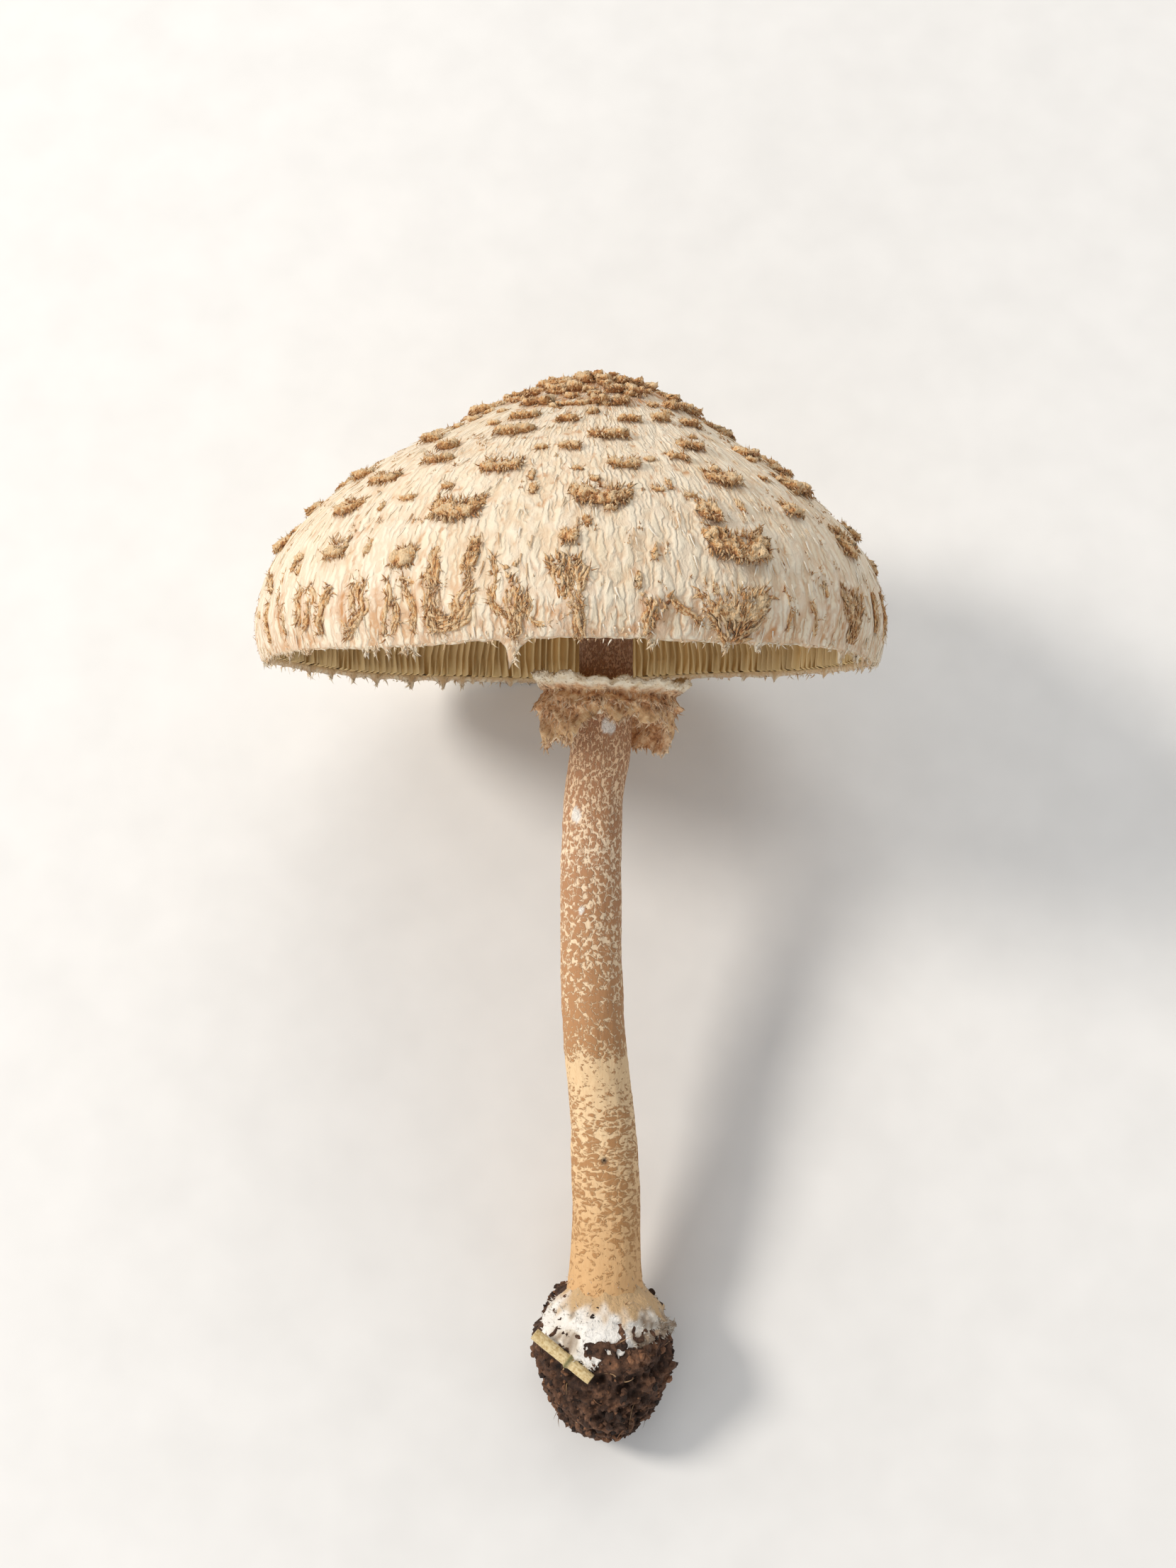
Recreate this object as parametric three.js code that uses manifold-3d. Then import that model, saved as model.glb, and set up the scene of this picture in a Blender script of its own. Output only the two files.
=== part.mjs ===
// A parasol mushroom as picked, with the ball of soil still on its foot, lying on a table.
//
// The mushroom is drawn standing up, with +Z along its stem and the side that is looked at facing -Y.
// Azimuth 0 is that side, and a positive azimuth goes round to its right, towards +X. The group at the
// end of the file tips the whole thing backwards until the rim of the cap and the ball of soil touch
// the table, which is the plane Z = 0 of the finished part. Lengths are millimetres.

import * as THREE from "three";
import { mergeVertices } from "three/addons/utils/BufferGeometryUtils.js";
import Module from "manifold-3d";

const wasm = await Module();
wasm.setup();

// The cap: radius and height of its bare skin, from the boss in the middle to the rim.
const CAP_SKIN = [
  [0, 247.3],
  [8, 246.2],
  [16, 243],
  [24.5, 238.6],
  [33, 233.8],
  [41.5, 228.8],
  [50, 223.3],
  [58, 217],
  [65, 209.8],
  [70.2, 201.8],
  [73, 193],
  [73.3, 186.5],
  [71.9, 181],
];
const CAP_LEAN = 6.3; // how far the rim lies to the left of the stem
const CAP_BOSS_X = 0.4;
const CAP_COLUMNS = 48;
// Thickness of the flesh: share of the way from the boss to the rim, then millimetres.
const FLESH = [
  [0, 19],
  [0.14, 14],
  [0.3, 8.5],
  [0.5, 5],
  [0.7, 3],
  [0.85, 2.2],
  [1, 1.4],
];

// The gills, which end short of the stem and of the rim.
const GILL_PAIRS = 24; // one long gill and one short gill in each
const GILL_THICK = 0.9;
const GILL_WEB = 0.8; // the layer that joins the gills under the flesh
const GILL_START = 0.14;
const GILL_END = 0.97;
const GILL_DEPTH = [
  [GILL_START, 2.5],
  [0.22, 7],
  [0.35, 9.5],
  [0.55, 9],
  [0.75, 6.5],
  [0.9, 3.2],
  [GILL_END, 1],
];
const SHORT_GILL_FROM = 0.3;
const SHORT_GILL_FULL = 0.5;

// The stem: height, sideways place of its middle, depthways place, radius.
const STEM = [
  [9, 1.6, 0, 7.2],
  [13, 1.7, 0, 10.2],
  [20, 1.9, 0, 11],
  [28, 2, 0, 10.2],
  [36, 1.9, 0, 8.7],
  [46, 2.1, 0.1, 8.05],
  [60, 2.1, 0.3, 7.9],
  [76, 1.2, 0.6, 7.4],
  [92, -0.5, 0.9, 7.3],
  [108, -1.25, 1.1, 7.2],
  [124, -1.4, 1.2, 7.1],
  [142, -1.15, 1.1, 6.95],
  [152, -0.3, 0.9, 6.95],
  [162, 1, 0.7, 6.85],
  [182, 2.2, 0.4, 6.3],
  [205, 1.5, 0.2, 6],
  [222, 0.4, 0, 6.2],
  [237, -0.2, 0, 6.9],
];
const STEM_COLUMNS = 24;

// The ring round the stem: a collar that flares upwards over a ragged skirt. Radius and height.
const RING = [
  [13.8, 163],
  [14.8, 163.2],
  [15.1, 167],
  [15.5, 170.5],
  [15.3, 173],
  [16.6, 174.4],
  [18.3, 176.2],
  [17.7, 177.4],
  [12, 174.6],
  [7.6, 172.6],
  [7.6, 168.6],
  [12, 169.6],
  [13.5, 167.2],
];
const RING_HEM = [0, 1]; // the points of RING that make the ragged lower edge
const RING_LIP = [6, 7]; // and those of the upper edge
const RING_X = 1.2; // how far the collar hangs off the stem's middle, to the right
const RING_COLUMNS = 40;

// The ball of soil: radius and height of its side.
const SOIL = [
  [0, 0.9],
  [4.6, 0.6],
  [8.8, 3.4],
  [11.6, 7.6],
  [13.6, 12.4],
  [14.8, 18],
  [15, 24],
  [12.8, 28.8],
  [10.4, 32.6],
  [6, 34.2],
  [0, 34.2],
];
const SOIL_X = 2;
const SOIL_COLUMNS = 30;

// The white felt where the stem goes into the soil.
const FELT = [
  [0, 28.6],
  [10, 28.6],
  [12.6, 26],
  [14.2, 22.8],
  [15.7, 23.4],
  [14.6, 27],
  [12.6, 30.6],
  [10.4, 33.8],
  [9.2, 36.8],
  [0, 36.8],
];
const FELT_UNDERSIDE = 4; // how many points of FELT, from the first, lie on the soil
const FELT_COLUMNS = 28;

// The bit of straw on the soil: its two ends, and its radius.
const STRAW_FROM = [-14.2, -12.2, 26.2];
const STRAW_TO = [-1.4, -15.4, 16.6];
const STRAW_RADIUS = 1.35;

// Where the table passes behind the standing mushroom: distance behind the stem, and height.
const TABLE_AT_SOIL = [14.1, 20];
const TABLE_AT_RIM = [71.2, 182];
const CENTRE = [6.2, -117.2]; // what the finished part is moved by, to stand over the origin

const GAP = 0.3; // air left between two pieces that touch
const TURN = Math.PI * 2;
const BEHIND = 180; // azimuth of the side that lies on the table, in degrees

const tilt = Math.atan2(
  TABLE_AT_RIM[0] - TABLE_AT_SOIL[0],
  TABLE_AT_RIM[1] - TABLE_AT_SOIL[1],
);
const tableNormal = new THREE.Vector3(0, -Math.cos(tilt), Math.sin(tilt));
const tablePoint = new THREE.Vector3(0, ...TABLE_AT_SOIL);

const radians = (degrees) => THREE.MathUtils.degToRad(degrees);
const smooth = (from, to, x) => THREE.MathUtils.smoothstep(x, from, to);

// A draw from 0 to 1 that is the same every time for the same number.
function draw(n) {
  const wave = Math.sin(n * 12.9898 + 4.1414) * 43758.5453;
  return wave - Math.floor(wave);
}

// Height above the table of a point of the standing mushroom.
function overTable(point) {
  return point.clone().sub(tablePoint).dot(tableNormal);
}

// A smooth value at x through rows of [x, value, value, ...], as a Catmull-Rom curve.
function along(rows, x, column = 1) {
  const last = rows.length - 1;
  let i = 0;
  while (i < last - 1 && x > rows[i + 1][0]) i += 1;
  const slope = (k) => {
    const a = rows[Math.max(k - 1, 0)];
    const b = rows[Math.min(k + 1, last)];
    return (b[column] - a[column]) / (b[0] - a[0]);
  };
  const width = rows[i + 1][0] - rows[i][0];
  const t = THREE.MathUtils.clamp((x - rows[i][0]) / width, 0, 1);
  const low = rows[i][column];
  const high = rows[i + 1][column];
  return (
    low * (1 + 2 * t) * (1 - t) ** 2 +
    high * t * t * (3 - 2 * t) +
    slope(i) * width * t * (1 - t) ** 2 -
    slope(i + 1) * width * t * t * (1 - t)
  );
}

// A closed solid from a three.js geometry.
function solidOf(geometry) {
  const bare = geometry.index ? geometry.toNonIndexed() : geometry.clone();
  bare.deleteAttribute("normal");
  bare.deleteAttribute("uv");
  const merged = mergeVertices(bare, 1e-4);
  return new wasm.Manifold(
    new wasm.Mesh({
      numProp: 3,
      vertProperties: merged.attributes.position.array,
      triVerts: new Uint32Array(merged.index.array),
    }),
  );
}

// A node of the part. Only the outermost skin of its solid is kept, without any bubble sealed inside
// it and without any crumb that a cut has left loose.
function meshOf(name, solid, color, roughness) {
  const shells = solid.decompose();
  const largest = shells.reduce((a, b) => (a.volume() > b.volume() ? a : b));
  const { vertProperties, triVerts } = largest.getMesh();
  const geometry = new THREE.BufferGeometry()
    .setAttribute("position", new THREE.BufferAttribute(vertProperties, 3))
    .setIndex(new THREE.BufferAttribute(triVerts, 1));
  geometry.computeVertexNormals();
  const material = new THREE.MeshStandardMaterial({
    color,
    roughness,
    metalness: 0,
  });
  const mesh = new THREE.Mesh(geometry, material);
  mesh.name = name;
  return mesh;
}

// A lathed body whose every point is then put where place(azimuth, row, column) says.
function lathed(rows, columns, place) {
  const outline = Array.from(
    { length: rows },
    (_, row) => new THREE.Vector2(1, row),
  );
  const body = new THREE.LatheGeometry(outline, columns);
  const position = body.getAttribute("position");
  for (let column = 0; column <= columns; column += 1) {
    for (let row = 0; row < rows; row += 1) {
      const point = place(
        ((column % columns) / columns) * TURN,
        row,
        column % columns,
      );
      position.setXYZ(column * rows + row, point.x, point.y, point.z);
    }
  }
  return body;
}

// A point at a distance from the stem's middle line, in the direction of an azimuth.
const round = (azimuth, radius, z, x = 0, y = 0) =>
  new THREE.Vector3(
    x + radius * Math.sin(azimuth),
    y - radius * Math.cos(azimuth),
    z,
  );

const skinLine = new THREE.SplineCurve(
  CAP_SKIN.map(([radius, z]) => new THREE.Vector2(radius, z)),
);
const skinLength = skinLine.getLength();

// A point of the cap: azimuth, share of the way from boss to rim, and depth under the bare skin.
// Where the skin would go through the table, the whole thickness is pushed back up to it.
function capPoint(azimuth, share, depth = 0) {
  const on = skinLine.getPointAt(share);
  const slope = skinLine.getTangentAt(share);
  const x = CAP_BOSS_X - CAP_LEAN * smooth(0, 0.55, share);
  const wave =
    share ** 4 *
    (0.7 * Math.sin(3 * azimuth + 0.6) + 0.5 * Math.sin(7 * azimuth + 2));
  const at = (inward) =>
    round(
      azimuth,
      share > 0 ? on.x + slope.y * inward + wave * 0.4 : 0,
      on.y - slope.x * inward + wave * 0.5,
      x,
    );
  const under = Math.max(0, -overTable(at(0)));
  return at(depth).addScaledVector(tableNormal, under);
}

// The frame of the skin at a point: where it is, sideways, downhill and outwards.
function skinFrame(azimuth, share) {
  const step = 0.004;
  const point = capPoint(azimuth, share);
  const side = capPoint(azimuth + step, share).sub(point).normalize();
  const down = capPoint(azimuth, share + step)
    .sub(point)
    .normalize();
  const out = down.clone().cross(side).normalize();
  return { point, side, down, out };
}

// A scale: a ragged flake, sunk at its upper edge and lifted off the skin at its lower one.
function scaleFlake({ azimuth, arc, width, length, lift, seed }) {
  const corners = width > 9 ? 6 : 4;
  const outline = Array.from({ length: corners }, (_, k) => {
    const turn = ((k + 0.5) / corners) * TURN;
    const reach = 0.8 + 0.35 * draw(seed + k);
    return new THREE.Vector2(
      (width / 2) * Math.cos(turn) * reach,
      (length / 2) * Math.sin(turn) * reach,
    );
  });
  const root = 1.6;
  const slab = new THREE.ExtrudeGeometry(new THREE.Shape(outline), {
    depth: root + lift,
    bevelEnabled: false,
  });
  slab.translate(0, 0, -root);
  const { point, side, down, out } = skinFrame(
    radians(azimuth),
    Math.min(arc / skinLength, 0.99),
  );
  const up = down.clone().negate();
  // The slab's top is tipped, so that its upper edge dips under the skin.
  const position = slab.getAttribute("position");
  for (let i = 0; i < position.count; i += 1) {
    const [a, b, c] = [position.getX(i), position.getY(i), position.getZ(i)];
    const rise = c > 0 ? lift * (0.45 - (0.95 * b) / length) - 0.1 : c;
    const bow = (a * a) / 110;
    const spot = point
      .clone()
      .addScaledVector(side, a)
      .addScaledVector(up, b)
      .addScaledVector(out, rise - bow);
    position.setXYZ(i, spot.x, spot.y, spot.z);
  }
  return solidOf(slab);
}

// The scales that the looked-at side shows: azimuth, way down from the boss, width, length.
const SCALES_IN_VIEW = [
  [-21, 78, 12.5, 6.5],
  [-15, 64, 10, 4.5],
  [-18, 47, 9.5, 3.5],
  [6, 75, 13.5, 6],
  [10, 50, 9.5, 4],
  [12, 63, 7, 4],
  [34, 67, 9.5, 5],
  [26, 78, 5.5, 6.5],
  [30, 87, 16, 8],
  [33, 53, 7, 3.5],
  [61, 65, 11, 6],
  [48, 75, 6, 4.5],
  [62, 82, 7, 8],
  [-49, 74, 9, 4.5],
  [-45, 65, 9.5, 4],
  [-33, 59, 8, 3],
  [-45, 86, 7, 5],
  [-29, 89, 6, 5],
  [-77, 80, 8, 5],
  [-77, 69, 6, 4],
  [-60, 60, 7, 3.5],
  [-3, 41, 5.5, 3],
  [-20, 38, 7, 3],
  [18, 40, 5.5, 3],
  [31, 38, 4.5, 3],
  [44, 39, 5.5, 3],
  [-35, 52, 5, 3],
  [-50, 46, 6, 3],
  [0, 56, 5, 2.5],
  [26, 59, 5, 3],
  [57, 52, 8, 3.5],
  [69, 57, 8, 4],
  [79, 76, 7, 5],
  [0, 86, 4, 4],
  [57, 98, 9, 10],
  [28, 100, 17, 10],
  [1, 98, 6, 13],
  [-9, 100, 4, 9],
  [14, 101, 4, 9],
  [-18, 96, 4, 12],
  [-25, 97, 4, 12],
  [-33, 99, 5, 11],
  [-41, 98, 5, 11],
  [-50, 98, 5, 11],
  [-60, 97, 6, 11],
  [-71, 97, 6, 11],
  [73, 96, 6, 9],
];
const VIEW_EDGE = 82; // the scales past this azimuth, on either side, follow a rule

const liftOf = (length) => 0.9 + 0.14 * length;

function* scales() {
  let seed = 1;
  for (const [azimuth, arc, width, length] of SCALES_IN_VIEW) {
    yield { azimuth, arc, width, length, lift: liftOf(length), seed };
    seed += 10;
  }
  // The boss is crowded with small scales all the way round.
  for (const [arc, count] of [
    [4, 3],
    [12, 7],
    [20, 9],
    [28, 11],
  ]) {
    for (let k = 0; k < count; k += 1) {
      const azimuth = ((k + 0.6 * draw(seed)) / count) * 360 + arc * 7;
      const length = 3.4 + 1.2 * draw(seed + 1);
      const width = 6 + 2.5 * draw(seed + 2);
      yield { azimuth, arc, width, length, lift: 1.3, seed };
      seed += 10;
    }
  }
  // The sides and the back: rows that get sparser and coarser towards the rim.
  for (const [arc, apart] of [
    [37, 17],
    [48, 19],
    [59, 21],
    [71, 23],
    [83, 25],
    [97, 20],
  ]) {
    const radius = skinLine.getPointAt(arc / skinLength).x;
    const span = 360 - 2 * VIEW_EDGE;
    const count = Math.round((radians(span) * radius) / apart);
    for (let k = 0; k < count; k += 1) {
      const azimuth =
        VIEW_EDGE + ((k + 0.2 + 0.6 * draw(seed)) / count) * span;
      const down = arc + 5 * (draw(seed + 1) - 0.5);
      const size = 0.6 + 0.8 * draw(seed + 2);
      const nearRim = arc > 90;
      const width = (nearRim ? 5 : 8.5) * size;
      const length = nearRim ? 9 + 3 * draw(seed + 3) : 2.6 + 3 * size;
      const lies = nearRim && Math.abs(azimuth - BEHIND) < 22;
      if (!lies) {
        yield {
          azimuth,
          arc: down,
          width,
          length,
          lift: liftOf(length),
          seed,
        };
      }
      seed += 10;
    }
  }
}

// The teeth of the torn veil that hang from the rim, with three sides each.
function* rimTeeth() {
  const count = 40;
  for (let k = 0; k < count; k += 1) {
    const azimuth = ((k + 0.7 * draw(k + 900)) / count) * TURN;
    const reach = 2 + 3 * draw(k + 950) ** 2;
    const { point, side, down, out } = skinFrame(azimuth, 0.985);
    const tooth = new THREE.ConeGeometry(1, 1, 3, 1);
    tooth.translate(0, 0.5, 0);
    const position = tooth.getAttribute("position");
    for (let i = 0; i < position.count; i += 1) {
      const [a, b, c] = [position.getX(i), position.getY(i), position.getZ(i)];
      const spot = point
        .clone()
        .addScaledVector(side, a * (1.6 + 0.3 * reach))
        .addScaledVector(down, b * (reach + 1.2))
        .addScaledVector(out, -c * 0.6 - 0.75);
      position.setXYZ(i, spot.x, spot.y, spot.z);
    }
    yield solidOf(tooth);
  }
}

// The shares of the way to the rim where the underside of the flesh and the gills have a point.
const UNDER_SHARES = [GILL_START, 0.3, 0.48, 0.66, 0.84, GILL_END];

function capSolid() {
  const outer = Array.from({ length: 13 }, (_, k) => [k / 12, 0]);
  const inner = [...UNDER_SHARES, 0.995].map((share) => [
    share,
    along(FLESH, share),
  ]);
  const rows = [[0, along(FLESH, 0)], ...inner, ...outer.reverse()];
  const shell = lathed(rows.length, CAP_COLUMNS, (azimuth, row) =>
    capPoint(azimuth, ...rows[row]),
  );
  let cap = solidOf(shell);
  for (const scale of scales()) cap = cap.add(scaleFlake(scale));
  for (const tooth of rimTeeth()) cap = cap.add(tooth);
  return cap.subtract(stemSolid(GAP)).subtract(tableBox());
}

// Each gill takes four columns: the foot and the edge of its left face, then those of its right one.
function gillSolid() {
  const pairs = GILL_PAIRS * 2;
  const bottom = UNDER_SHARES.map((share) => [share, 1]);
  const top = UNDER_SHARES.map((share) => [share, 0]).reverse();
  const rows = [...bottom, ...top, bottom[0]];
  const body = lathed(rows.length, pairs * 4, (_, row, column) => {
    const [share, lower] = rows[row];
    const gill = Math.floor(column / 4);
    const corner = column % 4;
    const radius = skinLine.getPointAt(share).x;
    const half = Math.min(GILL_THICK / 2, (radius * TURN) / pairs / 5);
    const azimuth =
      (gill / pairs) * TURN + ((corner < 2 ? -1 : 1) * half) / radius;
    const long = gill % 2 === 0;
    const grown = long ? 1 : smooth(SHORT_GILL_FROM, SHORT_GILL_FULL, share);
    const isEdge = corner === 1 || corner === 2;
    const blade = isEdge
      ? along(GILL_DEPTH, share) * (long ? 1 : 0.85 * grown)
      : 0;
    const depth = along(FLESH, share) + GAP + lower * (GILL_WEB + blade);
    return capPoint(azimuth, share, depth);
  });
  return solidOf(body);
}

// The stem, as a lathed bar that is bent along its middle line. extra makes it fatter all over.
function stemSolid(extra = 0) {
  const heights = STEM.map(([z]) => z);
  const first = heights[0] - extra;
  const last = heights[heights.length - 1] + extra;
  const rows = [
    [0, first],
    ...STEM.map(([z, , , radius], k) => [
      radius + extra,
      k === 0 ? first : k === STEM.length - 1 ? last : z,
    ]),
    [0, last],
  ];
  return solidOf(
    lathed(rows.length, STEM_COLUMNS, (azimuth, row) => {
      const [radius, z] = rows[row];
      return round(azimuth, radius, z, along(STEM, z, 1), along(STEM, z, 2));
    }),
  );
}

function ringSolid() {
  return solidOf(
    lathed(RING.length + 1, RING_COLUMNS, (azimuth, row, column) => {
      const k = row % RING.length;
      const [radius, z] = RING[k];
      const tear = draw(column + 300);
      const hem = RING_HEM.includes(k) ? 2.2 * tear : 0;
      // The skirt is drawn up at the front, and the lip sags there.
      const front = Math.max(0, Math.cos(azimuth - 0.3));
      const arch = 5.2 * front ** 2 * (1 - smooth(163, 173, z));
      const lip = RING_LIP.includes(k) ? 0.6 * tear - 1.6 * front : 0;
      const isLoose = radius > 9;
      const fold = isLoose ? 0.45 * Math.sin(9 * azimuth + z) : 0;
      const height = z - hem + arch + lip - 0.9 * Math.sin(azimuth);
      return round(
        azimuth,
        radius + fold,
        isLoose ? height : z,
        along(STEM, z, 1) + (isLoose ? RING_X : 0),
        along(STEM, z, 2),
      );
    }),
  );
}

// The felt round the foot of the stem. extra makes it fatter all over.
function feltSolid(extra = 0) {
  const body = lathed(FELT.length, FELT_COLUMNS, (azimuth, row, column) => {
    const [radius, z] = FELT[row];
    const wider = row < FELT_UNDERSIDE ? -extra : extra;
    const higher = row <= FELT_UNDERSIDE ? -1.5 * extra : 1.5 * extra;
    if (radius === 0) return round(azimuth, 0, z + higher, SOIL_X);
    const isHem = z < 25;
    const hang = isHem ? 3.4 * (draw(column + 40) - 0.35) : 0;
    const lump = 0.35 * Math.sin(5 * azimuth + z) + 0.25 * Math.sin(11 * azimuth);
    return round(azimuth, radius + lump + wider, z - hang + higher, SOIL_X);
  });
  return solidOf(body);
}

function soilBody() {
  return solidOf(
    lathed(SOIL.length, SOIL_COLUMNS, (azimuth, row, column) => {
      const [radius, z] = SOIL[row];
      const crumb = draw(column * SOIL.length + row + 500) - 0.5;
      const lump = 0.6 * Math.sin(3 * azimuth + z / 4) + 1.5 * crumb;
      const isPole = radius === 0;
      const shoulder = z > 25 ? 1.2 * Math.max(0, -Math.sin(azimuth + 0.6)) : 0;
      const point = round(
        azimuth,
        isPole ? 0 : radius + lump,
        z + (isPole ? 0 : crumb + shoulder),
        SOIL_X,
      );
      return point.addScaledVector(tableNormal, Math.max(0, -overTable(point)));
    }),
  );
}

// The straw is a hollow grass stalk, dried flat at its ends, with one joint on it.
function strawSolid(extra = 0) {
  const from = new THREE.Vector3(...STRAW_FROM);
  const to = new THREE.Vector3(...STRAW_TO);
  const length = from.distanceTo(to);
  const stalk = new THREE.LatheGeometry(
    [
      [0, -extra],
      [STRAW_RADIUS + extra, -extra],
      [STRAW_RADIUS + extra, length * 0.56],
      [STRAW_RADIUS * 1.2 + extra, length * 0.6],
      [STRAW_RADIUS * 0.95 + extra, length * 0.66],
      [STRAW_RADIUS * 0.9 + extra, length + extra],
      [0, length + extra],
    ].map(([radius, way]) => new THREE.Vector2(radius, way)),
    10,
  );
  const up = new THREE.Vector3(0, 1, 0);
  const turn = new THREE.Quaternion().setFromUnitVectors(
    up,
    to.clone().sub(from).normalize(),
  );
  stalk.applyQuaternion(turn).translate(from.x, from.y, from.z);
  return solidOf(stalk);
}

// A block that fills the space under the table, to trim what would reach into it.
function tableBox() {
  const size = 600;
  const block = new THREE.BoxGeometry(size, size, size);
  block.translate(0, 0, -size / 2);
  block.rotateX(Math.PI / 2 - tilt);
  block.translate(tablePoint.x, tablePoint.y, tablePoint.z);
  return solidOf(block);
}

const stem = stemSolid();
const straw = strawSolid();
const felt = feltSolid()
  .subtract(stemSolid(GAP))
  .subtract(strawSolid(GAP))
  .subtract(tableBox());
const soil = soilBody()
  .subtract(stemSolid(GAP))
  .subtract(feltSolid(GAP))
  .subtract(strawSolid(GAP))
  .subtract(tableBox());

const mushroom = new THREE.Group();
mushroom.add(
  meshOf("cap", capSolid(), 0xeadbc4, 0.9),
  meshOf("gills", gillSolid(), 0xb9a37c, 0.85),
  meshOf("stem", stem, 0xb08a68, 0.85),
  meshOf("ring", ringSolid(), 0xc9a98a, 0.9),
  meshOf("mycelium", felt, 0xeeeae2, 0.95),
  meshOf("soil_clump", soil, 0x3d2a20, 0.95),
  meshOf("straw", straw, 0xd6c48c, 0.7),
);
mushroom.rotation.x = tilt - Math.PI / 2;
mushroom.position.set(
  CENTRE[0],
  CENTRE[1],
  Math.cos(tilt) * tablePoint.y - Math.sin(tilt) * tablePoint.z,
);

const part = new THREE.Group();
part.add(mushroom);

export default part;
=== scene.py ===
"""A parasol mushroom, picked and laid on a table: skin, scales, gills, stem, ring, felt and soil.

Everything is shaped standing up, in millimetres, as in the part's source: +Z runs up the stem, the
side that is looked at faces -Y, and azimuth 0 is that side. laid_down() then puts it on the table.
"""

import math
from itertools import product

import bpy
import numpy as np
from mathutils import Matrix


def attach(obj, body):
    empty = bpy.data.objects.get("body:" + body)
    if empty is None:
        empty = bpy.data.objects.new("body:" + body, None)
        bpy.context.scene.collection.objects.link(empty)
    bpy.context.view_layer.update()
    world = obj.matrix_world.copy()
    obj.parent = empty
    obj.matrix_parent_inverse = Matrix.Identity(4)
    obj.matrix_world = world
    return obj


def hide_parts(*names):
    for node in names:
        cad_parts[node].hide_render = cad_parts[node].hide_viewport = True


bl_info = {
    "name": "Parasol Mushroom",
    "version": (1, 0, 0),
    "blender": (4, 5, 0),
    "location": "View3D > Sidebar > Mushroom",
    "description": "Dresses the packed solids of a picked parasol mushroom",
    "category": "Add Mesh",
}

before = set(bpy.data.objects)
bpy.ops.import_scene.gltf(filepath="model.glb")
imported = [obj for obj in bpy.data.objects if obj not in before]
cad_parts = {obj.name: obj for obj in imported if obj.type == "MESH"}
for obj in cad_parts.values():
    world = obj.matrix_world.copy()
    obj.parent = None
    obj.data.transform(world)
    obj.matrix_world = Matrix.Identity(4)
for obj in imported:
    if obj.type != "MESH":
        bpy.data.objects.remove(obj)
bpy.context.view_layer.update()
TURN = 2 * math.pi
GOLDEN_ANGLE = 137.508  # degrees, for places that never line up

# The sizes that the part's source gives, in the same order and units.
# Radius and height of the bare skin, from the boss to the rim.
CAP_SKIN = [
    (0, 247.3), (8, 246.2), (16, 243), (24.5, 238.6), (33, 233.8), (41.5, 228.8), (50, 223.3),
    (58, 217), (65, 209.8), (70.2, 201.8), (73, 193), (73.3, 186.5), (71.9, 181),
]
CAP_LEAN = 6.3
CAP_BOSS_X = 0.4
# Share of the way down, and thickness of the flesh or depth of the gills there.
FLESH = [(0, 19), (0.14, 14), (0.3, 8.5), (0.5, 5), (0.7, 3), (0.85, 2.2), (1, 1.4)]
GILL_START = 0.14
GILL_END = 0.97
GILL_DEPTH = [
    (GILL_START, 2.5), (0.22, 7), (0.35, 9.5), (0.55, 9), (0.75, 6.5), (0.9, 3.2), (GILL_END, 1),
]
GILL_WEB = 0.8
GAP = 0.3
# Height, the stem's middle in x and y, and its radius.
STEM = [
    (9, 1.6, 0, 7.2), (13, 1.7, 0, 10.2), (20, 1.9, 0, 11), (28, 2, 0, 10.2), (36, 1.9, 0, 8.7),
    (46, 2.1, 0.1, 8.05), (60, 2.1, 0.3, 7.9), (76, 1.2, 0.6, 7.4), (92, -0.5, 0.9, 7.3),
    (108, -1.25, 1.1, 7.2), (124, -1.4, 1.2, 7.1), (142, -1.15, 1.1, 6.95),
    (152, -0.3, 0.9, 6.95), (162, 1, 0.7, 6.85), (182, 2.2, 0.4, 6.3), (205, 1.5, 0.2, 6),
    (222, 0.4, 0, 6.2), (237, -0.2, 0, 6.9),
]
# Radius, height, and how much the point belongs to the ragged hem and to the lip.
RING = [
    (13.8, 163, 1, 0), (14.8, 163.2, 1, 0), (15.1, 167, 0, 0), (15.5, 170.5, 0, 0),
    (15.3, 173, 0, 0), (16.6, 174.4, 0, 0), (18.3, 176.2, 0, 1), (17.7, 177.4, 0, 1),
    (12, 174.6, 0, 0), (7.6, 172.6, 0, 0), (7.6, 168.6, 0, 0), (12, 169.6, 0, 0),
    (13.5, 167.2, 0, 0),
]
RING_X = 1.2
RING_COLUMNS = 40
# Radius and height.
SOIL = [
    (0, 0.9), (4.6, 0.6), (8.8, 3.4), (11.6, 7.6), (13.6, 12.4), (14.8, 18), (15, 24),
    (12.8, 28.8), (10.4, 32.6), (6, 34.2), (0, 34.2),
]
SOIL_X = 2
FELT = [
    (0, 28.6), (10, 28.6), (12.6, 26), (14.2, 22.8), (15.7, 23.4), (14.6, 27), (12.6, 30.6),
    (10.4, 33.8), (9.2, 36.8), (0, 36.8),
]
STRAW_FROM = (-14.2, -12.2, 26.2)
STRAW_TO = (-1.4, -15.4, 16.6)
STRAW_RADIUS = 1.35
TABLE_AT_SOIL = (14.1, 20)
TABLE_AT_RIM = (71.2, 182)
CENTRE = (6.2, -117.2)

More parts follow.
